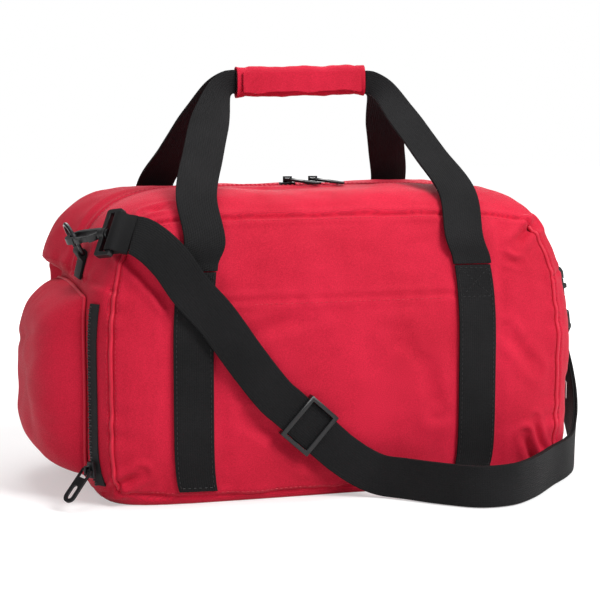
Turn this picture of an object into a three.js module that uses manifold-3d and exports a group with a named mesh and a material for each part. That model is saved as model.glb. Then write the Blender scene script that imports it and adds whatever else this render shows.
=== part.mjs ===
// A sports equipment holdall: a soft box of sewn panels with a two-way top zip, a zipped shoe
// pocket on its left end, two webbing carry handles joined by a wrap grip, and a shoulder strap
// that clips to a D-ring on each end. Millimetres, +Z up, +X towards the right end, -Y the front.
// The origin is the centre of the flat base, on the surface that the bag stands on.
import * as THREE from "three";
import { mergeVertices } from "three/addons/utils/BufferGeometryUtils.js";
import Module from "manifold-3d";

const wasm = await Module();
wasm.setup();

const V = (x, y, z) => new THREE.Vector3(x, y, z);

// ---- driving dimensions ----
const LEFT_REACH = 232; // centre to the fullest point of the left end
const RIGHT_REACH = 250; // centre to the fullest point of the right end
const HALF_DEPTH = 130; // centre to the fullest point of the front
const HEIGHT = 285; // base to the zip line
const WAIST = 130; // height of the fullest section
const LOWER_REACH = 145; // how far the lower curve would run below the waist
const PLAN_POWER = 7; // squareness of the plan outline
const SHOULDER_POWER = 2.5; // roundness of the shoulders
const END_SEAM = 207; // aim height of the seam between an end panel and the top strips
const PANEL = 3; // cloth, foam and lining together
const CLEAR = 0.4; // between neighbouring solids
const WEB = { width: 38, thick: 2, lift: 0.7 }; // all webbing
const HANDLE_X = 138; // centre line of each handle leg
const SEWN = { low: 9, high: 217 }; // sewn stretch of each leg
const GRIP = { height: 387, length: 132, tall: 30.4, deep: 18, wall: 2, round: 6 };
const FOLDED = { tall: 25, thick: 6 }; // handle webbing folded inside the grip
const FLAP = { thick: 1.5, drop: 20 };
const ZIP_SLOT = 13; // opening between the two top strips
const COIL = { half: 3.2, thick: 2.4, sink: 1 };
const TAPE = { thick: 0.8, reach: 17 };
const SLIDER = { length: 15, width: 10, height: 3.4, bridge: 9, rise: 6, post: 1.6 };
const PULL = { length: 34, width: 13, thick: 2.2, bar: 2.2, root: 12.4, eye: 8, slot: 14, slotWidth: 6 };
const SLIDER_REST = 13; // each top slider's centre from the middle of the zip
const PULL_TURN = -0.7; // the tabs lie towards the front right
const PULL_PITCH = 0.1; // and droop a little
const POCKET = { halfDepth: 92, low: 20, high: 196, bulge: 27, thick: 2.5, lift: 0.7 };
const POCKET_ZIP = { y: -104, low: 12, high: 186, width: 9, thick: 1.6 };
const SHOE_PULL_WAY = V(-0.6, -0.25, -0.76); // the shoe zip's tab leans out and down
const DIVIDER = { x: -132, halfDepth: 112, low: PANEL + 0.6, high: 236, thick: 2 };
const BOARD = { left: -122, right: 190, halfDepth: 98, thick: 3 };
const PIPING = 2; // radius of the cord sewn into each end seam
const LABEL = { width: 13, height: 16, thick: 0.6, z: 84, y: -96 };
const RING = { width: 40, straight: 17, bow: 12, wire: 2 }; // D-ring, to its wire's centre
const TAB = { width: 34, thick: 2, length: 24 };
const HOOK = { long: 42, half: 10, wall: 4.5, thick: 6, stem: 2.7, head: 4.4, collar: 5 };
const FRAME = { slot: 9.6, bar: 4.4, top: 5, side: 4, thick: 6, boss: 5.4 };
const GATE = { from: 14, to: 33, round: 1.85, thick: 5.2 };
const ADJUST = { half: 17, bar: 4.5, side: 3.8, rise: 4.4, centre: 2.5, travel: 8 };
Object.assign(ADJUST, { x: -31, y: 137.5, z: 71, slope: 0.73 }); // its place on the strap
const LOOP_TAIL = 16; // a hook bar's middle to the end of its sewn loop
/** Unit vector along v, made square to an axis. */
const squareTo = (v, axis) => v.clone().addScaledVector(axis, -v.dot(axis)).normalize();
const LEFT_HOOK = V(0.585, -0.8, 0.135).normalize(); // the way each hook runs from its ring
const RIGHT_HOOK = V(0.12, 0, -0.993).normalize();
const LEFT_BAR = squareTo(V(0.4, 0.354, 0.845), LEFT_HOOK); // the way the strap's bar runs
const LEFT_TAIL = squareTo(V(0.833, -0.525, -0.174), LEFT_BAR); // the way a loop leaves its bar
const RIGHT_TAIL = V(0.1, 0, -1).normalize();

const group = new THREE.Group();

const paint = (color, roughness, metalness = 0) =>
  new THREE.MeshStandardMaterial({ color, roughness, metalness });
const RED = paint(0xd21f3c, 0.75);
const LINING = paint(0x2a2a2c, 0.8);
const WEBBING = paint(0x1b1b1d, 0.7);
const BLACK = paint(0x141416, 0.6);
const PLASTIC = paint(0x18181a, 0.4);
const METAL = paint(0x1c1c1e, 0.35, 0.6);
const WHITE = paint(0xd8dade, 0.6);
const GREY = paint(0x55575a, 0.6);

/** A closed three.js geometry as a manifold solid. */
function solidOf(geometry) {
  const bare = geometry.index ? geometry.toNonIndexed() : geometry.clone();
  bare.deleteAttribute("normal");
  bare.deleteAttribute("uv");
  const merged = mergeVertices(bare, 1e-4);
  const vertProperties = merged.attributes.position.array;
  const triVerts = new Uint32Array(merged.index.array);
  return new wasm.Manifold(new wasm.Mesh({ numProp: 3, vertProperties, triVerts }));
}

/** A manifold solid as a three.js geometry. */
function geometryOf(solid) {
  const mesh = solid.getMesh();
  return new THREE.BufferGeometry()
    .setAttribute("position", new THREE.BufferAttribute(new Float32Array(mesh.vertProperties), 3))
    .setIndex(new THREE.BufferAttribute(new Uint32Array(mesh.triVerts), 1));
}

/** Adds a geometry, or a manifold solid, as one named node. */
function addNode(name, shape, material, parent = group) {
  const mesh = new THREE.Mesh(shape.isBufferGeometry ? shape : geometryOf(shape), material);
  mesh.geometry.computeVertexNormals();
  mesh.name = name;
  parent.add(mesh);
}

/** A box as a solid, from its lowest corner to its highest. */
function boxSolid(x0, y0, z0, x1, y1, z1) {
  const box = new THREE.BoxGeometry(x1 - x0, y1 - y0, z1 - z0);
  return solidOf(box.translate((x0 + x1) / 2, (y0 + y1) / 2, (z0 + z1) / 2));
}

/** A round bar along X as a solid. */
function barSolid(radius, from, to, sides = 12) {
  const bar = new THREE.CylinderGeometry(radius, radius, to - from, sides);
  return solidOf(bar.rotateZ(Math.PI / 2).translate((from + to) / 2, 0, 0));
}

/** A flat outline, extruded equally above and below z = 0. */
function plate(outline, thick, curveSegments = 5) {
  const options = { depth: thick, bevelEnabled: false, curveSegments };
  return new THREE.ExtrudeGeometry(outline, options).translate(0, 0, -thick / 2);
}

/** Rounded rectangle from (x0, y0) to (x1, y1). */
function rounded(x0, y0, x1, y1, r, Kind = THREE.Shape) {
  const path = new Kind();
  path.moveTo(x0 + r, y0);
  path.lineTo(x1 - r, y0);
  path.absarc(x1 - r, y0 + r, r, -Math.PI / 2, 0, false);
  path.lineTo(x1, y1 - r);
  path.absarc(x1 - r, y1 - r, r, 0, Math.PI / 2, false);
  path.lineTo(x0 + r, y1);
  path.absarc(x0 + r, y1 - r, r, Math.PI / 2, Math.PI, false);
  path.lineTo(x0, y0 + r);
  path.absarc(x0 + r, y0 + r, r, Math.PI, 1.5 * Math.PI, false);
  return path;
}

/** Turns a closed geometry's faces to point outwards. */
function facingOut(geometry) {
  const position = geometry.attributes.position;
  const index = geometry.index.array;
  const corner = (k) => new THREE.Vector3().fromBufferAttribute(position, index[k]);
  let volume = 0;
  for (let k = 0; k < index.length; k += 3) {
    volume += corner(k).dot(corner(k + 1).cross(corner(k + 2)));
  }
  for (let k = 0; volume < 0 && k < index.length; k += 3) {
    [index[k + 1], index[k + 2]] = [index[k + 2], index[k + 1]];
  }
  return geometry;
}

/** Closed solid between two matching grids of points, one for each face of a sheet. */
function slab(outer, inner) {
  const rows = outer.length;
  const columns = outer[0].length;
  const at = (side, r, c) => (side * rows + r) * columns + c;
  const faces = [];
  const quad = (a, b, c, d) => faces.push(a, b, c, a, c, d);
  for (let r = 0; r < rows - 1; r++) {
    for (let c = 0; c < columns - 1; c++) {
      quad(at(0, r, c), at(0, r, c + 1), at(0, r + 1, c + 1), at(0, r + 1, c));
      quad(at(1, r, c), at(1, r + 1, c), at(1, r + 1, c + 1), at(1, r, c + 1));
    }
    const last = columns - 1;
    quad(at(0, r, 0), at(0, r + 1, 0), at(1, r + 1, 0), at(1, r, 0));
    quad(at(0, r, last), at(1, r, last), at(1, r + 1, last), at(0, r + 1, last));
  }
  for (let c = 0; c < columns - 1; c++) {
    const last = rows - 1;
    quad(at(0, 0, c), at(1, 0, c), at(1, 0, c + 1), at(0, 0, c + 1));
    quad(at(0, last, c), at(0, last, c + 1), at(1, last, c + 1), at(1, last, c));
  }
  const geometry = new THREE.BufferGeometry().setFromPoints([...outer.flat(), ...inner.flat()]);
  return facingOut(geometry.setIndex(faces));
}

// ---- the bag's surface ----

const reachX = (x) => (x < 0 ? LEFT_REACH : RIGHT_REACH);
const reachZ = (rise) => (rise > 0 ? HEIGHT - WAIST : LOWER_REACH);
const powerZ = (rise) => (rise > 0 ? SHOULDER_POWER : PLAN_POWER);
const shareX = (x) => Math.abs(x / reachX(x)) ** PLAN_POWER;
const shareY = (y) => Math.abs(y / HALF_DEPTH) ** PLAN_POWER;
const shareZ = (rise) => Math.abs(rise / reachZ(rise)) ** powerZ(rise);

/** Outward normal of the soft box at a point of it. */
function normalAt(p) {
  const rise = p.z - WAIST;
  const slope = (v, size, n) => (Math.sign(v) * n * Math.abs(v / size) ** (n - 1)) / size;
  return V(
    slope(p.x, reachX(p.x), PLAN_POWER),
    slope(p.y, HALF_DEPTH, PLAN_POWER),
    slope(rise, reachZ(rise), powerZ(rise)),
  ).normalize();
}

/** Moves a point of the soft box out by lift, and keeps it above the flat base. */
function lifted(p, lift) {
  p.addScaledVector(normalAt(p), lift);
  p.z = Math.max(p.z, Math.max(0, -lift));
  return p;
}

/** Point of the soft box on the ray from its middle through (x, y, z), moved out by lift. */
function skin(x, y, z, lift = 0) {
  const rise = z - WAIST;
  let low = 0;
  let high = 8;
  for (let k = 0; k < 48; k++) {
    const t = (low + high) / 2;
    if (shareX(t * x) + shareY(t * y) + shareZ(t * rise) < 1) low = t;
    else high = t;
  }
  return lifted(V(low * x, low * y, WAIST + low * rise), lift);
}

/** Point of the front (side -1) or rear (side 1) at a given x and z. */
function faceAt(x, z, side, lift = 0) {
  const y = HALF_DEPTH * Math.max(0.2, 1 - shareX(x) - shareZ(z - WAIST)) ** (1 / PLAN_POWER);
  return lifted(V(x, side * y, z), lift);
}

/** Point of the left (side -1) or right (side 1) end at a given y and z. */
function endAt(y, z, side, lift = 0) {
  const x = reachX(side) * Math.max(0.1, 1 - shareY(y) - shareZ(z - WAIST)) ** (1 / PLAN_POWER);
  return lifted(V(side * x, y, z), lift);
}

/** Height of the top at x, on the zip's line. */
const ridge = (x) => WAIST + (HEIGHT - WAIST) * (1 - shareX(x)) ** (1 / SHOULDER_POWER);

const spread = (from, to, steps) =>
  Array.from({ length: steps + 1 }, (_, k) => from + ((to - from) * k) / steps);
/** Steps that lie closer together towards both ends. */
const eased = (from, to, steps) =>
  spread(-1, 1, steps).map((t) => (from + to) / 2 + ((to - from) / 2) * Math.sin((t * Math.PI) / 2));

/** Sheet over the grid us by vs, whose outer points are point(u, v, lift). */
function sheet(point, us, vs, lift = 0, thick = PANEL) {
  const grid = (rise) => us.map((u) => vs.map((v) => point(u, v, rise)));
  return slab(grid(lift), grid(lift - thick));
}

/** Aim point at distance s along the zip's route: up the left end, over the top, down the right. */
function along(s, y) {
  const climb = HEIGHT - END_SEAM;
  if (s < climb) return [-LEFT_REACH, y, END_SEAM + s];
  const flat = s - climb - LEFT_REACH;
  if (flat <= RIGHT_REACH) return [flat, y, HEIGHT];
  return [RIGHT_REACH, y, HEIGHT - (flat - RIGHT_REACH)];
}
const ROUTE = 2 * (HEIGHT - END_SEAM) + LEFT_REACH + RIGHT_REACH;

/** Steps shared by every panel, so that neighbours meet point to point along their seams. */
const LENGTH_STEPS = eased(-LEFT_REACH, RIGHT_REACH, 16);
const DEPTH_STEPS = eased(-HALF_DEPTH, HALF_DEPTH, 12);
const LOWER_STEPS = eased(0, END_SEAM, 6);
const UPPER_STEPS = eased(END_SEAM, HEIGHT, 3);
/** The same steps, with both ends drawn in by the seam's clearance. */
const seamed = (steps) =>
  steps.map((s, k) => s + (k === 0 ? CLEAR : 0) - (k === steps.length - 1 ? CLEAR : 0));

const CLIMB = UPPER_STEPS.map((z) => z - END_SEAM);
const ROUTE_STEPS = [
  ...CLIMB,
  ...LENGTH_STEPS.slice(1).map((x) => HEIGHT - END_SEAM + LEFT_REACH + x),
  ...CLIMB.map((s) => ROUTE - s).reverse().slice(1),
];
/** Point over the top at distance s along the zip's route and y across it. */
const overTop = (s, y, lift) => skin(...along(s, y), lift);

function bodyPanels() {
  const xs = seamed(LENGTH_STEPS);
  const ys = seamed(DEPTH_STEPS);
  const zs = seamed([...LOWER_STEPS, ...UPPER_STEPS.slice(1)]);
  const endZs = seamed(LOWER_STEPS);
  const face = (side) => (x, z, lift) => skin(x, side * HALF_DEPTH, z, lift);
  const end = (side) => (y, z, lift) => skin(side * reachX(side), y, z, lift);
  addNode("front_panel", sheet(face(-1), xs, zs), RED);
  addNode("rear_panel", sheet(face(1), xs, zs), RED);
  addNode("left_end_panel", sheet(end(-1), ys, endZs), RED);
  addNode("right_end_panel", sheet(end(1), ys, endZs), RED);
  addNode("base_panel", sheet((x, y, lift) => skin(x, y, 0, lift), xs, ys), RED);
  for (const [name, side] of [["top_front_strip", -1], ["top_rear_strip", 1]]) {
    const across = DEPTH_STEPS.filter((y) => y * side > ZIP_SLOT / 2).sort((a, b) => (a - b) * side);
    const acrossYs = [(side * ZIP_SLOT) / 2, ...across.slice(0, -1), side * (HALF_DEPTH - CLEAR)];
    addNode(name, sheet(overTop, seamed(ROUTE_STEPS), acrossYs), RED);
  }
}

function topZip() {
  const route = seamed(ROUTE_STEPS);
  for (const [name, side] of [["front", -1], ["rear", 1]]) {
    const tapeYs = [side * (COIL.half + CLEAR), side * TAPE.reach];
    const tape = sheet(overTop, route, tapeYs, -PANEL - 2 * CLEAR, TAPE.thick);
    addNode(`top_zip_tape_${name}`, tape, BLACK);
    const coil = sheet(overTop, route, [side * 0.2, side * COIL.half], -COIL.sink, COIL.thick);
    addNode(`top_zip_coil_${name}`, coil, BLACK);
  }
}

/** Zip slider over a coil: it runs along X, its underside is at z = 0, and its bridge is above. */
function sliderShape() {
  const { length, width, height, bridge, rise, post } = SLIDER;
  const outline = new THREE.Shape();
  outline.moveTo(-length / 2, -width * 0.32);
  outline.lineTo(length * 0.1, -width / 2);
  outline.lineTo(length / 2, -width / 2);
  outline.lineTo(length / 2, width / 2);
  outline.lineTo(length * 0.1, width / 2);
  outline.lineTo(-length / 2, width * 0.32);
  const body = solidOf(plate(outline, height).translate(0, 0, height / 2));
  const half = bridge / 2;
  const arch = boxSolid(-half, -1, height - 0.1, half, 1, height + rise);
  const hole = boxSolid(-half + post, -2, height + 0.3, half - post, 2, height + rise - post);
  return body.add(arch.subtract(hole));
}

/** Pull tab lying along +X from its bar, which turns at the origin. */
function pullShape() {
  const { length, width, thick, bar, root, eye, slot, slotWidth } = PULL;
  const outline = new THREE.Shape();
  const narrow = root / 2;
  const end = length - width / 2;
  outline.moveTo(-bar / 2, -narrow);
  outline.lineTo(length * 0.4, -width / 2);
  outline.lineTo(end, -width / 2);
  outline.absarc(end, 0, width / 2, -Math.PI / 2, Math.PI / 2, false);
  outline.lineTo(length * 0.4, width / 2);
  outline.lineTo(-bar / 2, narrow);
  outline.holes.push(rounded(bar / 2, -narrow + 1.6, eye, narrow - 1.6, 1, THREE.Path));
  const first = end + width / 2 - 3.5 - slot;
  const half = slotWidth / 2;
  outline.holes.push(rounded(first, -half, first + slot, half, half - 0.01, THREE.Path));
  return plate(outline, thick);
}

/** Height of a pull tab's bar above its slider's underside. */
const PULL_SEAT = SLIDER.height + SLIDER.rise - SLIDER.post - PULL.bar / 2 - CLEAR;

function topSliders() {
  const top = HEIGHT - COIL.sink + CLEAR;
  for (const [name, side] of [["left", -1], ["right", 1]]) {
    const place = new THREE.Group();
    place.position.set(side * SLIDER_REST, 0, top);
    place.rotation.z = side < 0 ? Math.PI : 0;
    addNode(`top_slider_${name}`, sliderShape(), METAL, place);
    const tab = new THREE.Group();
    tab.position.set(side * SLIDER_REST, 0, top + PULL_SEAT);
    tab.rotation.set(0, PULL_PITCH, PULL_TURN, "ZYX");
    addNode(`top_pull_${name}`, pullShape(), METAL, tab);
    group.add(place, tab);
  }
}

// ---- shoe pocket on the left end ----

/** Point of the shoe pocket's panel, where u and v run from -1 to 1 over its depth and height. */
function pocketPoint(u, v, lift) {
  const y = POCKET.halfDepth * u * (1 - 0.06 * v * v);
  const z = (POCKET.low + POCKET.high) / 2 + ((POCKET.high - POCKET.low) / 2) * v * (1 - 0.05 * u * u);
  const dome = ((1 - u ** 6) * (1 - v ** 6)) ** 0.5;
  const seat = endAt(y, z, -1, POCKET.lift + POCKET.thick);
  return V(seat.x - POCKET.bulge * dome - lift, seat.y, seat.z);
}

function shoePocket() {
  const steps = eased(-1, 1, 12);
  addNode("shoe_pocket", sheet((u, v, lift) => pocketPoint(u, v, lift), steps, steps, 0, 2.5), RED);
  const { y, low, high, width, thick } = POCKET_ZIP;
  const ys = [y - width / 2, y + width / 2];
  const band = (a, b, lift) => endAt(a, b, -1, lift);
  addNode("shoe_zip_tape", sheet(band, ys, spread(low + 8, high, 14), WEB.lift + thick, thick), BLACK);
  const coilYs = [y - 1.8, y + 1.8];
  const coilLift = WEB.lift + 2 * thick + CLEAR;
  addNode("shoe_zip_coil", sheet(band, coilYs, spread(low + 8, high, 14), coilLift, thick), BLACK);
  const outward = normalAt(endAt(y, low + 24, -1)).setZ(0).normalize();
  const spot = endAt(y, low + 24, -1, coilLift + 2 * CLEAR);
  addNode("shoe_slider", sliderShape(), METAL, placed(spot, rightHanded(V(0, 0, -1), outward)));
  const pin = spot.clone().addScaledVector(outward, PULL_SEAT);
  addNode("shoe_pull", pullShape(), METAL, placed(pin, rightHanded(SHOE_PULL_WAY, outward)));
}

/** New group in the bag at a point, turned by a rotation matrix. */
function placed(point, rotation) {
  const place = new THREE.Group();
  place.position.copy(point);
  place.quaternion.setFromRotationMatrix(rotation);
  group.add(place);
  return place;
}

// ---- inside, seams and label ----

function insides() {
  const { x, halfDepth, low, high, thick } = DIVIDER;
  const outline = rounded(-halfDepth, low, halfDepth, high, 12);
  const wall = plate(outline, thick).rotateX(Math.PI / 2).rotateZ(Math.PI / 2);
  addNode("shoe_divider", wall.translate(x, 0, 0), LINING);
  const { left, right } = BOARD;
  const board = plate(rounded(left, -BOARD.halfDepth, right, BOARD.halfDepth, 18), BOARD.thick);
  board.translate(0, 0, PANEL + CLEAR + BOARD.thick / 2);
  addNode("base_board", board, GREY);
}

/** Round cord along a route. */
function cordAlong(points, radius, steps) {
  const circle = new THREE.Shape();
  circle.absarc(0, 0, radius, 0, 2 * Math.PI, false);
  const route = new THREE.CatmullRomCurve3(points);
  const options = { steps, bevelEnabled: false, extrudePath: route, curveSegments: 4 };
  return new THREE.ExtrudeGeometry(circle, options);
}

function pipings() {
  for (const [end, endSide] of [["left", -1], ["right", 1]]) {
    for (const [face, faceSide] of [["front", -1], ["rear", 1]]) {
      const route = spread(14, END_SEAM + 40, 9).map((z) =>
        skin(endSide * reachX(endSide), faceSide * HALF_DEPTH, z, PIPING + CLEAR),
      );
      addNode(`piping_${end}_${face}`, cordAlong(route, PIPING, 18), RED);
    }
  }
}

function careLabel() {
  const { width, height, thick, z, y } = LABEL;
  const base = endAt(y, z, 1, CLEAR);
  const label = boxSolid(0, -width / 2, -height / 2, thick, width / 2, height / 2);
  const out = normalAt(endAt(y, z, 1)).setZ(0).normalize();
  addNode("care_label", label, WHITE, placed(base, zUp(out)));
}

/** Rotation whose X is outward and whose Z stays upright. */
function zUp(outward) {
  const z = V(0, 0, 1);
  return new THREE.Matrix4().makeBasis(outward, z.clone().cross(outward), z);
}

// ---- webbing ----

/**
 * Flat ribbon through stations [point, face direction], its face kept square to its route.
 * width(t) and thick(t) give its section at share t of the route; rise lifts it off the route.
 */
function ribbon(stations, steps, options = {}) {
  const { from = 0, to = 1, rise = 0, width = () => WEB.width, thick = () => WEB.thick } = options;
  const smooth = (k) =>
    new THREE.CatmullRomCurve3(stations.map((station) => station[k]), false, "centripetal");
  const [route, faces] = [smooth(0), new THREE.CatmullRomCurve3(stations.map((s) => s[1]))];
  const outer = [];
  const inner = [];
  for (const t of spread(from, to, steps)) {
    const tangent = route.getTangent(t);
    const across = tangent.clone().cross(faces.getPoint(t)).normalize();
    const face = across.clone().cross(tangent).normalize();
    const middle = route.getPoint(t).addScaledVector(face, rise);
    const at = (side, lift) =>
      middle.clone().addScaledVector(across, (side * width(t)) / 2).addScaledVector(face, lift);
    outer.push([-1, 1].map((side) => at(side, thick(t) / 2)));
    inner.push([-1, 1].map((side) => at(side, -thick(t) / 2)));
  }
  return slab(outer, inner);
}

const LEGS = [
  ["front_left", -1, -1],
  ["front_right", 1, -1],
  ["rear_left", -1, 1],
  ["rear_right", 1, 1],
];

function handles() {
  for (const [name, side, face] of LEGS) {
    const middle = side * HANDLE_X;
    const xs = spread(middle - WEB.width / 2, middle + WEB.width / 2, 2);
    const strip = (x, z, lift) => faceAt(x, z, face, lift);
    const zs = eased(SEWN.low, SEWN.high, 10);
    addNode(`sewn_web_${name}`, sheet(strip, xs, zs, WEB.lift + WEB.thick, WEB.thick), WEBBING);
    addNode(`leg_${name}`, legShape(side, face), WEBBING);
  }
  for (const [name, face] of [["front", -1], ["rear", 1]]) {
    const half = GRIP.length / 2 - 1;
    const y = face * (FOLDED.thick / 2 + CLEAR);
    const section = rounded(-FOLDED.tall / 2, -FOLDED.thick / 2, FOLDED.tall / 2, FOLDED.thick / 2, 2.4);
    const folded = plate(section, 2 * half, 3).rotateY(Math.PI / 2);
    addNode(`grip_web_${name}`, folded.translate(0, y, GRIP.height), WEBBING);
  }
}

/** Free leg of a handle, from the top of its sewn stretch to the mouth of the grip. */
function legShape(side, face) {
  const x = side * HANDLE_X;
  const half = WEB.lift + WEB.thick / 2;
  const mouth = GRIP.length / 2 + CLEAR;
  const y = face * (FOLDED.thick / 2 + CLEAR);
  const facing = V(0, face, 0);
  const stations = [
    [faceAt(x, SEWN.high + 1.2, face, half), normalAt(faceAt(x, SEWN.high, face))],
    [faceAt(x, SEWN.high + 10, face, half + 0.4), V(0, face, 0.4)],
    [faceAt(x - side * 3, SEWN.high + 30, face, half + 4), V(0, face, 0.7)],
    [V(side * 127, face * 101, 281), V(0, face, 0.9)],
    [V(side * 112, face * 63, 318), V(side * 0.2, face, 0.7)],
    [V(side * 95, face * 27, 356), V(side * 0.2, face, 0.4)],
    [V(side * (mouth + 16), face * 9, GRIP.height - 8), V(0, face, 0.1)],
    [V(side * (mouth + 6), y, GRIP.height - 1.5), facing],
    [V(side * mouth, y, GRIP.height - 1), facing],
  ];
  const narrowing = (t) => THREE.MathUtils.smoothstep(t, 0.72, 0.97);
  const width = (t) => WEB.width + (FOLDED.tall - 2 - WEB.width) * narrowing(t);
  const thick = (t) => WEB.thick + (FOLDED.thick - 1 - WEB.thick) * narrowing(t);
  return ribbon(stations, 18, { width, thick });
}

function grip() {
  const { height, length, tall, deep, wall, round } = GRIP;
  const outline = rounded(-tall / 2, -deep / 2, tall / 2, deep / 2, round);
  const inset = round - wall;
  const [x, y] = [tall / 2 - wall, deep / 2 - wall];
  const hole = rounded(-x, -y, x, y, inset, THREE.Path);
  outline.holes.push(hole);
  const sleeve = plate(outline, length - 2 * wall, 4).rotateY(Math.PI / 2);
  addNode("grip_wrap", sleeve.translate(0, 0, height), RED);
  const top = height + tall / 2 - round;
  const flap = new THREE.BoxGeometry(length - 14, FLAP.thick, FLAP.drop);
  flap.translate(0, -deep / 2 - CLEAR - FLAP.thick / 2, top - FLAP.drop / 2);
  addNode("grip_flap", flap, RED);
}

// ---- snap hooks and D-rings ----

/** Rotation from a direction along X and a direction for Z. */
function rightHanded(alongX, upZ) {
  const x = alongX.clone().normalize();
  const z = upZ.clone().addScaledVector(x, -upZ.dot(x)).normalize();
  return new THREE.Matrix4().makeBasis(x, z.clone().cross(x), z);
}

/** Closed round wire along a closed curve in the XY plane. */
function closedWire(curve, steps, radius, sides = 6) {
  const points = [];
  const faces = [];
  for (let k = 0; k < steps; k++) {
    const middle = curve.getPoint(k / steps);
    const tangent = curve.getTangent(k / steps);
    const side = V(tangent.y, -tangent.x, 0).normalize();
    for (let j = 0; j < sides; j++) {
      const angle = (2 * Math.PI * j) / sides;
      const out = side.clone().multiplyScalar(radius * Math.cos(angle));
      points.push(middle.clone().add(out).add(V(0, 0, radius * Math.sin(angle))));
      const next = ((k + 1) % steps) * sides;
      const [p, q] = [k * sides + j, k * sides + ((j + 1) % sides)];
      const [r, t] = [next + j, next + ((j + 1) % sides)];
      faces.push(p, q, t, p, t, r);
    }
  }
  return facingOut(new THREE.BufferGeometry().setFromPoints(points).setIndex(faces));
}

/** D-ring in the XY plane: its bar on the Y axis and its bow towards +X. */
function dRingShape() {
  const half = RING.width / 2;
  const bow = spread(-90, 90, 6).map((degrees) => {
    const angle = THREE.MathUtils.degToRad(degrees);
    return V(RING.straight + RING.bow * Math.cos(angle), half * Math.sin(angle), 0);
  });
  const corner = (side) => [V(1, side * (half - 0.6), 0), V(0, side * (half - 3), 0)];
  const [lowOut, lowIn] = corner(-1);
  const [highOut, highIn] = corner(1);
  const route = [V(0, 0, 0), lowIn, lowOut, ...bow, highOut, highIn];
  return closedWire(new THREE.CatmullRomCurve3(route, true, "centripetal"), 40, RING.wire);
}

/** Sewn webbing loop that holds a D-ring's bar: its eye is at the origin and its tail runs to -X. */
function tabShape() {
  const eye = RING.wire + CLEAR;
  const outline = new THREE.Shape();
  const reach = eye + TAB.thick;
  outline.moveTo(-TAB.length, -reach);
  outline.lineTo(0, -reach);
  outline.absarc(0, 0, reach, -Math.PI / 2, Math.PI * 0.86, false);
  outline.lineTo(-reach - 3, -reach + TAB.thick + 0.5);
  outline.lineTo(-TAB.length, -reach + TAB.thick);
  const hole = new THREE.Path();
  hole.absarc(0, 0, eye, 0, 2 * Math.PI, true);
  outline.holes.push(hole);
  return plate(outline, TAB.width).rotateX(Math.PI / 2);
}

/** Snap hook's strap frame: the swivel's axis is X, and the strap's bar is on its -X side. */
function frameShape() {
  const { slot, bar, top, side, thick, boss } = FRAME;
  const half = WEB.width / 2 + 2 * CLEAR;
  const outline = rounded(-2 - slot - bar, -half - side, -2 + top, half + side, 3);
  outline.holes.push(rounded(-2 - slot, -half, -2, half, 1, THREE.Path));
  const ring = solidOf(plate(outline, thick));
  const bored = ring.add(barSolid(boss, -2, -2 + top));
  return bored.subtract(barSolid(HOOK.stem + CLEAR, -3, 4));
}

/** Snap hook: its stem turns in the frame, and its eye opens on the +Y side. */
function hookShape() {
  const { long, half, wall, thick, stem, head, collar } = HOOK;
  const start = -2 + FRAME.top + CLEAR;
  const near = start + 2;
  const far = near + long;
  const outline = rounded(near, -half, far, half, half - 0.5);
  const eye = half - wall;
  outline.holes.push(rounded(near + wall, -eye, far - wall, eye, eye - 0.2, THREE.Path));
  const ring = solidOf(plate(outline, thick));
  const gap = boxSolid(GATE.from, eye - 2.5, -thick, GATE.to, half + 1, thick);
  return ring
    .subtract(gap)
    .add(barSolid(collar, start, near + 1))
    .add(barSolid(stem, -4, near))
    .add(barSolid(head, -2 - CLEAR - 2.4, -2 - CLEAR));
}

/** Spring gate that fills the hook's opening: its pivot is at the origin, its tip towards +X. */
function gateShape() {
  const { from, to, round, thick } = GATE;
  const tip = to - from - 2 * CLEAR - round;
  const outline = new THREE.Shape();
  outline.absarc(0, 0, round, Math.PI / 2, 1.5 * Math.PI, false);
  outline.lineTo(tip, -round);
  outline.lineTo(tip, round);
  outline.lineTo(tip * 0.72, round);
  outline.lineTo(tip * 0.66, round + 3);
  outline.lineTo(tip * 0.4, round + 3);
  outline.lineTo(tip * 0.34, round);
  return plate(outline, thick);
}

/** Everything from one sewn tab to the strap's bar. Returns the bar's middle. */
function hookSet(name, { root, tabWay, ringWay, grab, wireWay, hookWay, barWay }) {
  const out = normalAt(root);
  addNode(`ring_tab_${name}`, tabShape(), WEBBING, placed(root, rightHanded(tabWay, out)));
  const ringTurn = rightHanded(ringWay, ringWay.clone().cross(V(0, 1, 0)));
  addNode(`d_ring_${name}`, dRingShape(), METAL, placed(root, ringTurn));
  const held = V(grab[0], grab[1], 0).applyMatrix4(ringTurn).add(root);
  const back = hookWay.clone().negate();
  const reach = FRAME.top + HOOK.long - HOOK.wall - RING.wire - 2.5 * CLEAR;
  const swivel = held.addScaledVector(back, -reach);
  const hookPlace = placed(swivel, rightHanded(back, wireWay));
  addNode(`hook_${name}`, hookShape(), PLASTIC, hookPlace);
  const gate = new THREE.Group();
  gate.position.set(GATE.from + CLEAR + GATE.round, HOOK.half - HOOK.wall / 2, 0);
  hookPlace.add(gate);
  addNode(`hook_gate_${name}`, gateShape(), PLASTIC, gate);
  const turn = rightHanded(back, back.clone().cross(barWay));
  addNode(`hook_frame_${name}`, frameShape(), PLASTIC, placed(swivel, turn));
  return swivel.clone().addScaledVector(back, -2 - FRAME.slot - FRAME.bar / 2);
}

/** Point of an end where a ring's bar sits, and the way its tab runs to it from the seam. */
function ringSeat(y, z, side, seam) {
  const lift = RING.wire + 3 * CLEAR + TAB.thick;
  const root = endAt(y, z, side, lift);
  return { root, tabWay: root.clone().sub(endAt(y, seam, side, lift)) };
}

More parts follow.
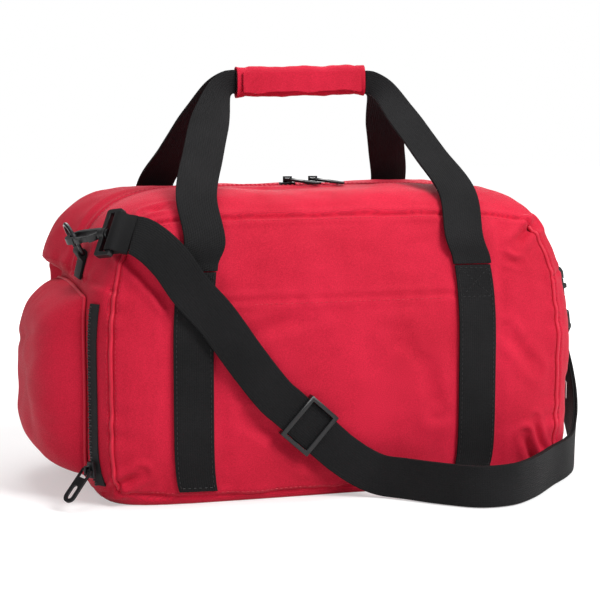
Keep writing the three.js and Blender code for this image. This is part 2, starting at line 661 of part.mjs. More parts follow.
function leftHook() {
  const ringWay = V(-0.45, 0, 0.893);
  return hookSet("left", {
    ...ringSeat(-42, 226, -1, 203),
    ringWay,
    grab: [RING.straight, -RING.width / 2],
    wireWay: ringWay,
    hookWay: LEFT_HOOK,
    barWay: LEFT_BAR,
  });
}

function rightHook() {
  return hookSet("right", {
    ...ringSeat(-20, 212, 1, 235),
    ringWay: V(0.66, 0, -0.75),
    grab: [RING.straight + RING.bow, 0],
    wireWay: V(0, 1, 0),
    hookWay: RIGHT_HOOK,
    barWay: V(0, 1, 0),
  });
}

/** Sewn end loop: its eye is round a hook frame's bar at the origin, its tail runs to +X. */
function endLoopShape() {
  const eye = Math.hypot(FRAME.bar, FRAME.thick) / 2 + CLEAR;
  const reach = eye + WEB.thick;
  const tail = WEB.thick + 0.2;
  const outline = new THREE.Shape();
  outline.moveTo(LOOP_TAIL, tail);
  outline.lineTo(reach + 2, tail);
  outline.absarc(0, 0, reach, Math.PI / 4, (7 * Math.PI) / 4, false);
  outline.lineTo(reach + 2, -tail);
  outline.lineTo(LOOP_TAIL, -tail);
  const hole = new THREE.Path();
  hole.absarc(0, 0, eye, 0, 2 * Math.PI, true);
  outline.holes.push(hole);
  return plate(outline, WEB.width).rotateX(Math.PI / 2);
}

/** Stations of the shoulder strap, from the left hook's bar to the right hook's bar. */
function strapStations(leftBar, rightBar) {
  const down = V(Math.cos(ADJUST.slope), 0, -Math.sin(ADJUST.slope));
  const middle = V(ADJUST.x, -ADJUST.y, ADJUST.z);
  const straight = [-42, -28, -14, 0, 14, 28, 40].map((s) => [
    middle.clone().addScaledVector(down, s),
    V(0, -1, 0),
  ]);
  const leftFace = LEFT_TAIL.clone().cross(LEFT_BAR).normalize();
  const tail = LOOP_TAIL + CLEAR;
  return [
    [leftBar.clone().addScaledVector(LEFT_TAIL, tail), leftFace],
    [leftBar.clone().addScaledVector(LEFT_TAIL, tail + 5), leftFace],
    [V(-172, -125, 240), V(-0.2, -0.85, 0.4)],
    [V(-157, -133, 224), V(-0.05, -1, 0.15)],
    [V(-141, -136.5, 200), V(0, -1, 0)],
    [V(-118, -137, 174), V(0, -1, 0)],
    [V(-89, -138, 133), V(0, -1, 0)],
    ...straight,
    [V(17, -139, 31), V(-0.1, -1, 0)],
    [V(35, -145, 22), V(-0.4, -0.9, 0)],
    [V(56, -162, 20.5), V(-0.7, -0.7, 0)],
    [V(82, -187, 20), V(-0.65, -0.75, 0)],
    [V(111, -208, 20), V(-0.3, -0.95, 0)],
    [V(142, -207, 20), V(0.35, -0.93, 0)],
    [V(171, -188, 20), V(0.62, -0.78, 0)],
    [V(211, -146, 20), V(0.74, -0.67, 0)],
    [V(241, -115, 20), V(0.75, -0.66, 0)],
    [V(262, -84, 21), V(0.88, -0.46, 0)],
    [V(275, -57, 36), V(0.97, -0.25, 0)],
    [V(280, -36, 62), V(1, -0.05, 0)],
    [V(279, -24, 92), V(1, 0, 0)],
    [rightBar.clone().addScaledVector(RIGHT_TAIL, tail + 5), V(1, 0, 0.1)],
    [rightBar.clone().addScaledVector(RIGHT_TAIL, tail), V(1, 0, 0.1)],
  ];
}

/** Tri-glide: X along the strap, Y across it, Z its outer face; the strap runs through z = 0. */
function adjusterShape() {
  const { half, bar, side, rise, centre } = ADJUST;
  const inner = WEB.width / 2 + CLEAR;
  const face = WEB.thick / 2 + CLEAR;
  const outer = inner + side;
  let frame = boxSolid(-centre, -outer, -rise, centre, outer, -face);
  for (const way of [-1, 1]) {
    const [near, far] = way < 0 ? [-outer, -inner] : [inner, outer];
    frame = frame.add(boxSolid(-half, near, -rise, half, far, rise));
    const [from, to] = way < 0 ? [-half, -half + bar] : [half - bar, half];
    frame = frame.add(boxSolid(from, -outer, face, to, outer, rise));
  }
  return frame;
}

function shoulderStrap() {
  const stations = strapStations(leftHook(), rightHook());
  const route = new THREE.CatmullRomCurve3(stations.map(([point]) => point), false, "centripetal");
  const share = (point) => nearestShare(route, point);
  const middle = V(ADJUST.x, -ADJUST.y, ADJUST.z);
  const down = V(Math.cos(ADJUST.slope), 0, -Math.sin(ADJUST.slope));
  addNode("shoulder_strap", ribbon(stations, 84), WEBBING);
  const under = -WEB.thick - 2 * CLEAR;
  const start = share(middle.clone().addScaledVector(down, ADJUST.centre + CLEAR));
  const joint = share(middle.clone().addScaledVector(down, ADJUST.half + ADJUST.travel + 6));
  const layer = { rise: under };
  addNode("strap_return_end", ribbon(stations, 8, { ...layer, from: start, to: joint }), WEBBING);
  addNode("strap_return", ribbon(stations, 64, { ...layer, from: joint + 0.0006, to: 1 }), WEBBING);
  addNode("tri_glide", adjusterShape(), PLASTIC, placed(middle, rightHanded(down, V(0, -1, 0))));
  loopAt("left", stations[0], LEFT_TAIL);
  loopAt("right", stations.at(-1), RIGHT_TAIL);
}

/** Sewn end loop that meets one end of the strap. */
function loopAt(name, [end, face], way) {
  const bar = end.clone().addScaledVector(way, -LOOP_TAIL - CLEAR);
  addNode(`strap_loop_${name}`, endLoopShape(), WEBBING, placed(bar, rightHanded(way, face)));
}

/** Share of a curve's parameter at which it is nearest to a point. */
function nearestShare(curve, point) {
  let best = 0;
  for (const t of spread(0, 1, 4000)) {
    if (curve.getPoint(t).distanceTo(point) < curve.getPoint(best).distanceTo(point)) best = t;
  }
  return best;
}

bodyPanels();
topZip();
topSliders();
shoePocket();
insides();
pipings();
careLabel();
handles();
grip();
shoulderStrap();

export default group;
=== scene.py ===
"""Dresses the sports holdall: sewn red cloth, black webbing, zips, hooks and a studio to show it in."""

import logging
import math
from dataclasses import dataclass, field
from enum import Enum
from typing import Callable, Sequence

import bpy
import numpy as np
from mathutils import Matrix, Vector

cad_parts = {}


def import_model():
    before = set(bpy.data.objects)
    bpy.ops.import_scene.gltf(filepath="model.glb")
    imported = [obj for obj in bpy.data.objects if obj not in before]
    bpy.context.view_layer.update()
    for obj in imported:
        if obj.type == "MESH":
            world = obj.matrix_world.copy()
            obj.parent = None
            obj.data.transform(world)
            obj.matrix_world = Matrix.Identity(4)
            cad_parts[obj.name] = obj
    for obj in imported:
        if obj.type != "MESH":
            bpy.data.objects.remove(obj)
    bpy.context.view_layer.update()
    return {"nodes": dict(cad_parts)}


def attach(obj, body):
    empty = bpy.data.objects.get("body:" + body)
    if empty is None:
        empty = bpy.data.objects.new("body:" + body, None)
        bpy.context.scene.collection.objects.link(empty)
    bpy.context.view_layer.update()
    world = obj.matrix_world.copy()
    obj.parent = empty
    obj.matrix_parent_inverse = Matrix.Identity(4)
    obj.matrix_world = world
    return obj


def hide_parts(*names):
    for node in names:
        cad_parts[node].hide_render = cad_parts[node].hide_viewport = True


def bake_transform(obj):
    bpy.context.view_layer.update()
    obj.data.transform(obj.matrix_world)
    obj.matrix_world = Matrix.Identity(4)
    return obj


log = logging.getLogger("holdall")

MM = 0.001
LEFT, RIGHT, FRONT, REAR = -1, 1, -1, 1


class Cloth(Enum):
    """Names of finish slots."""

    RED = "red_cloth"
    WEBBING = "black_webbing"
    TAPE = "zip_tape"
    COIL = "zip_coil"
    METAL = "black_metal"
    PLASTIC = "black_plastic"
    LABEL = "label"


# ---------------------------------------------------------------- mesh helpers


def deselect() -> None:
    """Leaves nothing selected."""
    bpy.ops.object.select_all(action="DESELECT")


def only(piece: bpy.types.Object) -> None:
    """Selects one object alone and makes it active.

    Args:
        piece: the object to select.
    """
    deselect()
    piece.select_set(True)
    bpy.context.view_layer.objects.active = piece


def apply_modifiers(piece: bpy.types.Object) -> None:
    """Applies every modifier of a piece in order.

    Args:
        piece: the object whose modifiers are applied.
    """
    only(piece)
    for modifier in list(piece.modifiers):
        bpy.ops.object.modifier_apply(modifier=modifier.name)


def smooth(piece: bpy.types.Object, degrees: float = 40.0) -> None:
    """Shades a piece smooth, with edges sharper than an angle left sharp.

    Args:
        piece: the object to shade.
        degrees: the angle above which an edge stays sharp.
    """
    only(piece)
    bpy.ops.object.shade_smooth_by_angle(angle=math.radians(degrees))


def outward(piece: bpy.types.Object) -> None:
    """Merges doubles and turns a piece's faces outwards.

    Args:
        piece: the object to mend.
    """
    only(piece)
    bpy.ops.object.mode_set(mode="EDIT")
    bpy.ops.mesh.select_all(action="SELECT")
    bpy.ops.mesh.remove_doubles(threshold=1e-6)
    bpy.ops.mesh.normals_make_consistent(inside=False)
    bpy.ops.object.mode_set(mode="OBJECT")


def new_object(name: str, points: np.ndarray, faces: Sequence[Sequence[int]]) -> bpy.types.Object:
    """Makes a mesh object at the origin.

    Args:
        name: the piece's name.
        points: an array of corners, in metres.
        faces: the corner numbers of each face.

    Returns:
        The new object, linked to the scene.
    """
    mesh = bpy.data.meshes.new(name)
    mesh.from_pydata([tuple(p) for p in points], [], [tuple(f) for f in faces])
    mesh.update()
    piece = bpy.data.objects.new(name, mesh)
    bpy.context.scene.collection.objects.link(piece)
    return piece


def grid_uv(points: np.ndarray) -> np.ndarray:
    """Distances along a grid's rows and columns, in millimetres.

    Args:
        points: rows by columns by 3, in metres.

    Returns:
        rows by columns by 2.
    """
    down = np.linalg.norm(np.diff(points, axis=0), axis=2)
    over = np.linalg.norm(np.diff(points, axis=1), axis=2)
    u = np.vstack([np.zeros((1, points.shape[1])), np.cumsum(down, axis=0)])
    v = np.hstack([np.zeros((points.shape[0], 1)), np.cumsum(over, axis=1)])
    u -= u[len(u) // 2]
    v -= v[:, v.shape[1] // 2][:, None]
    return np.stack([u, v], axis=2) / MM


def unit(vectors: np.ndarray) -> np.ndarray:
    """Vectors of length one.

    Args:
        vectors: an array whose last axis is x, y, z.

    Returns:
        The same directions.
    """
    return vectors / np.maximum(np.linalg.norm(vectors, axis=-1, keepdims=True), 1e-12)


def ripples(points: np.ndarray, wavelength: float, seed: int, waves: int = 9) -> np.ndarray:
    """Soft uneven waves over space, between about -1 and 1.

    Args:
        points: an array whose last axis is x, y, z, in metres.
        wavelength: the usual distance between crests, in metres.
        seed: picks the pattern.
        waves: how many plane waves are added.

    Returns:
        One value for each point.
    """
    random = np.random.default_rng(seed)
    total = np.zeros(points.shape[:-1])
    for _ in range(waves):
        way = unit(random.normal(size=3)) * 2 * math.pi / (wavelength * random.uniform(0.7, 1.6))
        total += np.sin(points @ way + random.uniform(0, 2 * math.pi))
    return total / math.sqrt(waves * 1.6)


def smoothstep(low: float, high: float, x: np.ndarray) -> np.ndarray:
    """Rises smoothly from 0 at low to 1 at high.

    Args:
        low: where the rise starts.
        high: where it ends.
        x: the values to shape.

    Returns:
        Values from 0 to 1.
    """
    t = np.clip((x - low) / (high - low), 0, 1)
    return t * t * (3 - 2 * t)


def spline(stations: Sequence[Sequence[float]], count: int) -> np.ndarray:
    """Smooth curve through stations, evenly stepped along its length.

    Args:
        stations: points or directions, one row each.
        count: how many points the curve gets.

    Returns:
        count rows.
    """
    p = np.asarray(stations, dtype=float)
    p = np.vstack([2 * p[0] - p[1], p, 2 * p[-1] - p[-2]])
    knots = np.concatenate([[0], np.cumsum(np.sqrt(np.linalg.norm(np.diff(p, axis=0), axis=1)) + 1e-9)])
    fine = []
    for k in range(1, len(p) - 2):
        t0, t1, t2, t3 = knots[k - 1:k + 3]
        t = np.linspace(t1, t2, 24, endpoint=False)[:, None]
        a1 = (t1 - t) / (t1 - t0) * p[k - 1] + (t - t0) / (t1 - t0) * p[k]
        a2 = (t2 - t) / (t2 - t1) * p[k] + (t - t1) / (t2 - t1) * p[k + 1]
        a3 = (t3 - t) / (t3 - t2) * p[k + 1] + (t - t2) / (t3 - t2) * p[k + 2]
        b1 = (t2 - t) / (t2 - t0) * a1 + (t - t0) / (t2 - t0) * a2
        b2 = (t3 - t) / (t3 - t1) * a2 + (t - t1) / (t3 - t1) * a3
        fine.append((t2 - t) / (t2 - t1) * b1 + (t - t1) / (t2 - t1) * b2)
    fine = np.vstack([*fine, p[-2][None, :]])
    return resample(fine, count)[0]


def resample(points: np.ndarray, count: int) -> tuple[np.ndarray, np.ndarray]:
    """Evenly spaced points along a polyline.

    Args:
        points: the polyline, one row for each corner.
        count: how many points to return.

    Returns:
        The points and their shares of the polyline's length.
    """
    run = np.concatenate([[0], np.cumsum(np.linalg.norm(np.diff(points, axis=0), axis=1))])
    at = np.linspace(0, run[-1], count)
    return np.stack([np.interp(at, run, points[:, k]) for k in range(points.shape[1])], axis=1), at


def laid_grid(name: str, points: np.ndarray, thick: float = 0.0, offset: float = -1.0,
              bevel: float = 0.0, flip: bool = False) -> bpy.types.Object:
    """Lays a grid primitive over an array of points and gives it a wall.

    Args:
        name: the piece's name.
        points: rows by columns by 3, in millimetres.
        thick: the wall's thickness in millimetres, or 0 for a bare sheet.
        offset: where the wall grows, as Solidify's offset.
        bevel: how far the wall's edges are rounded, in millimetres.
        flip: whether the sheet's faces are turned over first.

    Returns:
        The new piece, with UVs in millimetres.
    """
    rows, columns = points.shape[:2]
    deselect()
    bpy.ops.mesh.primitive_grid_add(x_subdivisions=columns - 1, y_subdivisions=rows - 1, size=2)
    piece = bpy.context.active_object
    piece.name = piece.data.name = name
    piece.data.vertices.foreach_set("co", (points.reshape(-1, 3) * MM).astype(np.float32).ravel())
    write_uv(piece, grid_uv(points * MM).reshape(-1, 2))
    if flip:
        bpy.ops.object.mode_set(mode="EDIT")
        bpy.ops.mesh.select_all(action="SELECT")
        bpy.ops.mesh.flip_normals()
        bpy.ops.object.mode_set(mode="OBJECT")
    if thick:
        wall = piece.modifiers.new("wall", "SOLIDIFY")
        wall.thickness, wall.offset = thick * MM, offset
        wall.use_even_offset = False
    if bevel:
        edge = piece.modifiers.new("edge", "BEVEL")
        edge.width, edge.segments, edge.limit_method = bevel * MM, 2, "ANGLE"
        edge.angle_limit = math.radians(60)
        edge.use_clamp_overlap = True
    apply_modifiers(piece)
    piece.data.update()
    return piece


def write_uv(piece: bpy.types.Object, uv: np.ndarray) -> None:
    """Gives each corner of a mesh the UV of its vertex.

    Args:
        piece: the object to map.
        uv: one (u, v) for each vertex, in millimetres.
    """
    layer = piece.data.uv_layers.get("UVMap") or piece.data.uv_layers.new(name="UVMap")
    index = np.empty(len(piece.data.loops), dtype=np.int32)
    piece.data.loops.foreach_get("vertex_index", index)
    layer.data.foreach_set("uv", uv[index].astype(np.float32).ravel())


def joined(name: str, pieces: Sequence[bpy.types.Object]) -> bpy.types.Object:
    """Joins pieces into one.

    Args:
        name: the name of the joined piece.
        pieces: the pieces to join.

    Returns:
        The joined piece.
    """
    deselect()
    for piece in pieces:
        piece.select_set(True)
    bpy.context.view_layer.objects.active = pieces[0]
    bpy.ops.object.join()
    pieces[0].name = pieces[0].data.name = name
    return pieces[0]


def tube(name: str, path: np.ndarray, radius: float, sides: int = 10) -> bpy.types.Object:
    """Sweeps a round cord along a path, with closed ends.

    Args:
        name: the piece's name.
        path: points along the cord, in millimetres.
        radius: the cord's radius in millimetres.
        sides: how many sides its section has.

    Returns:
        The new cord, as a mesh.
    """
    along = unit(np.gradient(path, axis=0))
    first = np.cross(along, [0.31, 0.87, 0.38])
    first = unit(first)
    second = np.cross(along, first)
    turn = np.linspace(0, 2 * math.pi, sides, endpoint=False)
    rings = path[:, None] + radius * (np.cos(turn)[None, :, None] * first[:, None]
                                      + np.sin(turn)[None, :, None] * second[:, None])
    rings = np.concatenate([np.repeat(path[:1, None], sides, 1), rings, np.repeat(path[-1:, None], sides, 1)])
    rings = np.concatenate([rings, rings[:, :1]], axis=1)
    piece = laid_grid(name, rings)
    outward(piece)
    smooth(piece, 60)
    return piece


# ---------------------------------------------------------------- the bag's surface


@dataclass(frozen=True)
class Hull:
    """The rounded box that the bag's cloth is cut for, in millimetres."""

    left: float = 232.0
    right: float = 250.0
    depth: float = 130.0
    height: float = 285.0
    waist: float = 130.0
    upper: float = 155.0
    lower: float = 145.0
    plan_power: float = 7.0
    shoulder_power: float = 2.5
    end_seam: float = 207.0

    def place(self, aim: np.ndarray, lift: float | np.ndarray = 0.0) -> tuple[np.ndarray, np.ndarray]:
        """Finds where rays from the bag's middle through aim points leave it.

        Args:
            aim: points to aim at, last axis x, y, z.
            lift: how far outside the cloth the result stands.

        Returns:
            The points and the outward directions there.
        """
        way = np.asarray(aim, dtype=float) - [0, 0, self.waist]
        reach = np.where(way[..., 0] < 0, self.left, self.right)
        over = way[..., 2] > 0
        tall = np.where(over, self.upper, self.lower)
        power = np.where(over, self.shoulder_power, self.plan_power)
        a = np.abs(way[..., 0] / reach) ** self.plan_power + np.abs(way[..., 1] / self.depth) ** self.plan_power
        b = np.abs(way[..., 2] / tall)
        low, high = np.zeros(a.shape), np.full(a.shape, 40.0)
        for _ in range(60):
            mid = (low + high) / 2
            inside = a * mid ** self.plan_power + (b * mid) ** power < 1
            low, high = np.where(inside, mid, low), np.where(inside, high, mid)
        spot = way * low[..., None]
        normal = np.stack([
            self.plan_power * np.abs(spot[..., 0] / reach) ** (self.plan_power - 1) / reach * np.sign(spot[..., 0]),
            self.plan_power * np.abs(spot[..., 1] / self.depth) ** (self.plan_power - 1) / self.depth
            * np.sign(spot[..., 1]),
            power * np.abs(spot[..., 2] / tall) ** (power - 1) / tall * np.sign(spot[..., 2])], axis=-1)
        normal = unit(normal)
        spot[..., 2] += self.waist
        under = spot[..., 2] < 0
        spot[..., 2] = np.maximum(spot[..., 2], 0)
        normal[under] = [0, 0, -1]
        return spot + normal * np.asarray(lift)[..., None], normal

    def at_face(self, x: np.ndarray, z: np.ndarray, side: int, lift: float = 0.0) -> np.ndarray:
        """Points on the front or rear, by x and height.

        Args:
            x: places along the bag.
            z: heights.
            side: FRONT or REAR.
            lift: how far outside the cloth.

        Returns:
            The points.
        """
        x, z = np.broadcast_arrays(x, z)
        return self.place(np.stack([x, np.full(x.shape, side * self.depth), z], -1), lift)[0]

    def at_end(self, y: np.ndarray, z: np.ndarray, side: int, lift: float = 0.0) -> np.ndarray:
        """Points on an end, by y and height.

        Args:
            y: places across the bag.
            z: heights.
            side: LEFT or RIGHT.
            lift: how far outside the cloth.

        Returns:
            The points.
        """
        y, z = np.broadcast_arrays(y, z)
        reach = self.left if side == LEFT else self.right
        return self.place(np.stack([np.full(y.shape, side * reach), y, z], -1), lift)[0]

    def at_top(self, x: np.ndarray, y: np.ndarray, lift: float = 0.0) -> np.ndarray:
        """Points on the top, by x and y.

        Args:
            x: places along the bag.
            y: places across it.
            lift: how far outside the cloth.

        Returns:
            The points.
        """
        x, y = np.broadcast_arrays(x, y)
        return self.place(np.stack([x, y, np.full(x.shape, self.height)], -1), lift)[0]


HULL = Hull()


def to_line(points: np.ndarray, line: np.ndarray) -> np.ndarray:
    """Distances from points to a polyline.

    Args:
        points: one row each.
        line: the polyline's corners.

    Returns:
        One distance for each point.
    """
    best = np.full(len(points), 1e9)
    for a, b in zip(line[:-1], line[1:]):
        span = b - a
        t = np.clip((points - a) @ span / max(span @ span, 1e-9), 0, 1)
        best = np.minimum(best, np.linalg.norm(points - a - t[:, None] * span, axis=1))
    return best


@dataclass(frozen=True)
class Crease:
    """A fold or dart in the cloth: where it runs, how deep and how wide, in millimetres."""

    line: tuple[tuple[float, float, float], ...]
    deep: float
    wide: float

    def push(self, points: np.ndarray) -> np.ndarray:
        """How far the cloth moves out of its place near the crease.

        Args:
            points: places on the cloth, one row each.

        Returns:
            One distance for each point, outward.
        """
        path = spline(self.line, 24)
        near = np.linalg.norm(points - path.mean(0), axis=1) < np.linalg.norm(path - path.mean(0), axis=1).max() + 30
        out = np.zeros(len(points))
        d = to_line(points[near], path)
        first, last = (np.linalg.norm(points[near] - end, axis=1) for end in (path[0], path[-1]))
        ends = np.minimum(first, last)
        fade = smoothstep(0, 14, ends + d * 0.2)
        ridge = 0.55 * np.exp(-((d - 1.9 * self.wide) / self.wide) ** 2)
        out[near] = self.deep * fade * (ridge - np.exp(-(d / self.wide) ** 2))
        return out


CREASES = (
    Crease(((-200.5, -107.1, 235.5), (-183.2, -120.2, 215.6), (-162, -126.2, 189.5)), 2.6, 4.5),
    Crease(((-166, -126.1, 196), (-158, -127, 184), (-150, -128.1, 168)), 2.2, 3.5),
    Crease(((-184.3, -123.7, 33), (-207.3, -113.4, 19.2), (-219, -100, 12)), 3.2, 4.0),
    Crease(((189, -126.4, 48), (199.4, -120.7, 24), (214, -112, 12)), 3.2, 4.0),
    Crease(((199, -125.2, 62), (209.3, -119.7, 34), (222, -108, 22)), 2.4, 3.5),
    Crease(((180.2, -119.7, 230), (200, -109.5, 246), (214, -96, 250)), 3.0, 4.5),
    Crease(((167.7, -123, 219.1), (176, -123, 216), (186, -122.8, 212.9)), 1.6, 3.0),
    Crease(((-175.3, -90.9, 269.9), (-163, -94, 272), (-150.6, -96.5, 273.5)), 1.8, 3.5),
    Crease(((-216, -60, 246), (-206, -82, 252), (-196, -98, 250)), 2.4, 4.0),
    Crease(((-84.8, -129.8, 77.6), (-52, -129, 58), (-7.5, -127.6, 25.4)), 1.6, 8.0),
    Crease(((60, -130, 150), (84, -130, 118), (98, -130, 76)), 1.4, 9.0),
    Crease(((-96, -129, 150), (-70, -130, 160), (-30, -130, 172)), 1.3, 7.0),
    Crease(((168, -127, 150), (186, -125, 128), (200, -122, 112)), 1.5, 6.0),
    Crease(((-184, 123, 40), (-207, 113, 22), (-219, 100, 12)), 3.0, 4.0),
    Crease(((199, 125, 62), (209, 119, 34), (222, 108, 20)), 2.8, 4.0),
    Crease(((180, 119, 230), (200, 109, 246), (214, 96, 250)), 2.8, 4.5),
    Crease(((-190, 115, 226), (-176, 123, 212), (-160, 127, 190)), 2.2, 4.5),
    Crease(((-60, 129, 60), (0, 130, 84), (70, 130, 70)), 1.6, 9.0),
    Crease(((247, 40, 60), (250, 10, 92), (249, -30, 110)), 2.0, 9.0),
    Crease(((246, 70, 150), (249, 40, 130), (249, 0, 146)), 1.8, 8.0),
)


@dataclass
class ClothShell:
    """The red body of the bag: one sagging shell with seams, folds, piping and thread."""

    cuts: int = 10
    billow: float = 3.0
    pucker: float = 1.1
    fills: tuple[tuple[tuple[float, float, float], float, float], ...] = (
        ((-214.0, 84.0, 212.0), 48.0, 20.0), ((-190.0, 70.0, 250.0), 44.0, 9.0), ((-222.0, 96.0, 120.0), 60.0, 8.0),
        ((0.0, -128.0, 96.0), 90.0, 3.0), ((0.0, 128.0, 110.0), 100.0, 5.0), ((248.0, 40.0, 110.0), 80.0, 6.0),
        ((10.0, -70.0, 276.0), 60.0, -3.0), ((10.0, 70.0, 276.0), 60.0, -3.0),
        ((-208.0, -88.0, 244.0), 34.0, -6.5))
    slot_half: float = 7.0
    slot_deep: float = 5.2
    web_dip: float = 1.5
    stitch: float = 3.0
    pitch: float = 4.6
    seams: dict[str, np.ndarray] = field(default_factory=dict)

    def plan(self) -> None:
        """Works out where the seams run."""
        x = np.linspace(-HULL.left, HULL.right, 120)
        y = np.linspace(-HULL.depth, HULL.depth, 70)
        z = np.linspace(0, HULL.height, 80)
        for side, name in ((FRONT, "front"), (REAR, "rear")):
            self.seams[f"{name}_top"] = HULL.at_face(x, np.full(x.shape, HULL.height), side)
            self.seams[f"{name}_base"] = HULL.at_face(x, np.zeros(x.shape), side)
            self.seams[f"{name}_yoke"] = HULL.at_face(np.linspace(-116, 138, 60), np.full(60, 188.0), side)
            for end, word in ((LEFT, "left"), (RIGHT, "right")):
                reach = HULL.left if end == LEFT else HULL.right
                self.seams[f"{name}_{word}"] = HULL.at_face(np.full(z.shape, end * reach), z, side)
        for end, word in ((LEFT, "left"), (RIGHT, "right")):
            self.seams[f"{word}_yoke"] = HULL.at_end(y, np.full(y.shape, HULL.end_seam), end)
            self.seams[f"{word}_base"] = HULL.at_end(y, np.zeros(y.shape), end)

    def held(self, p: np.ndarray) -> np.ndarray:
        """Where the cloth is held flat by webbing, tapes and the label.

        Args:
            p: places on the cloth, one row each.

        Returns:
            1 where the cloth is held and 0 where it is free.
        """
        x, y, z = p.T
        box = lambda v, mid, half: smoothstep(half + 9, half, np.abs(v - mid))
        faces = smoothstep(100, 112, np.abs(y)) * smoothstep(262, 246, z)
        webs = np.maximum(box(x, -138, 19), box(x, 138, 19)) * faces
        top = smoothstep(26, 18, np.abs(y)) * smoothstep(196, 204, z)
        label = smoothstep(236, 242, x) * box(y, -96, 9) * box(z, 84, 12)
        tabs = np.maximum(smoothstep(-214, -220, x) * box(y, -42, 19) * box(z, 218, 18),
                          smoothstep(228, 234, x) * box(y, -20, 19) * box(z, 222, 16))
        pocket = smoothstep(-208, -214, x) * box(y, -8, 102) * box(z, 106, 92)
        foot = smoothstep(9, 3, z)
        return np.clip(np.maximum.reduce([webs, top, label, tabs, pocket, foot]), 0, 1)

    def displace(self, p: np.ndarray) -> np.ndarray:
        """How far the cloth stands out of its cut shape.

        Args:
            p: places on the cut shape, one row each.

        Returns:
            One distance for each place, outward, in millimetres.
        """
        m = p * MM
        free = 1 - self.held(p)
        out = self.billow * ripples(m, 0.13, 3)
        out = out + 1.0 * ripples(m * [1, 1, 0.55], 0.055, 8) + 0.35 * ripples(m, 0.021, 5)
        for crease in CREASES:
            out += 1.5 * crease.push(p)
        for middle, wide, full in self.fills:
            out += full * np.exp(-(np.linalg.norm(p - middle, axis=1) / wide) ** 2)
        out *= free
        for k, (name, line) in enumerate(self.seams.items()):
            d = to_line(p, line)
            run = p @ unit(line[-1] - line[0])
            wave = np.sin(run / 5.3 + 2 * np.sin(run / 17 + k)) * np.sin(run / 31 + k)
            out += free * self.pucker * wave * np.exp(-(d / 11) ** 2)
            deep = 0.9 if "yoke" in name else 1.9
            out -= deep * np.exp(-(d / 1.9) ** 2)
            out += free * 0.7 * np.exp(-((d - 5.5) / 3.0) ** 2)
        x, y, z = p.T
        for mid in (-138, 138):
            beside = np.abs(np.abs(x - mid) - 24) / 5.5
            sewn = smoothstep(100, 112, np.abs(y)) * smoothstep(222, 205, z) * smoothstep(6, 24, z)
            out -= self.web_dip * np.exp(-beside ** 2) * sewn
        slot = smoothstep(self.slot_half + 1.6, self.slot_half - 0.8, np.abs(y)) * smoothstep(200, 206, z)
        lip = np.exp(-((np.abs(y) - 10.5) / 2.6) ** 2) * smoothstep(206, 214, z)
        out = np.where(y < -60, np.minimum(out, 4.0), out) * (1 - slot) - self.slot_deep * slot + 0.5 * lip
        return out

    def body(self) -> bpy.types.Object:
        """Builds the shell from a divided cube.

        Returns:
            The red shell.
        """
        deselect()
        bpy.ops.mesh.primitive_cube_add(size=2, location=(0, 0, 0))
        piece = bpy.context.active_object
        piece.name = piece.data.name = "bag_cloth"
        bpy.ops.object.mode_set(mode="EDIT")
        bpy.ops.mesh.select_all(action="SELECT")
        bpy.ops.mesh.subdivide(number_cuts=self.cuts)
        bpy.ops.mesh.select_all(action="SELECT")
        bpy.ops.mesh.subdivide(number_cuts=self.cuts)
        bpy.ops.object.mode_set(mode="OBJECT")
        count = len(piece.data.vertices)
        cube = np.empty(count * 3, dtype=np.float32)
        piece.data.vertices.foreach_get("co", cube)
        cube = cube.reshape(-1, 3).astype(float)
        edge = 1 - np.abs(cube)
        cube = np.sign(cube) * (1 - edge * (0.72 + 0.28 * edge))
        reach = np.where(cube[:, 0] < 0, HULL.left, HULL.right)
        aim = np.stack([cube[:, 0] * reach, cube[:, 1] * HULL.depth, HULL.height / 2 * (1 + cube[:, 2])], 1)
        spot, normal = HULL.place(aim)
        spot = spot + normal * self.displace(spot)[:, None]
        spot[:, 2] = np.maximum(spot[:, 2], 0.4)
        piece.data.vertices.foreach_set("co", (spot * MM).astype(np.float32).ravel())
        index = np.empty(len(piece.data.loops), dtype=np.int32)
        piece.data.loops.foreach_get("vertex_index", index)
        four = index.reshape(-1, 4)
        facing = np.repeat(np.argmax(np.abs(cube[four].mean(1)), axis=1), 4)
        flat = spot[index]
        upright = np.where(facing[:, None] == 1, flat[:, [0, 2]], flat[:, [0, 1]])
        uv = np.where(facing[:, None] == 0, flat[:, [1, 2]], upright)
        piece.data.uv_layers[0].data.foreach_set("uv", uv.astype(np.float32).ravel())
        piece.data.uv_layers[0].name = "UVMap"
        outward(piece)
        smooth(piece, 180)
        return piece

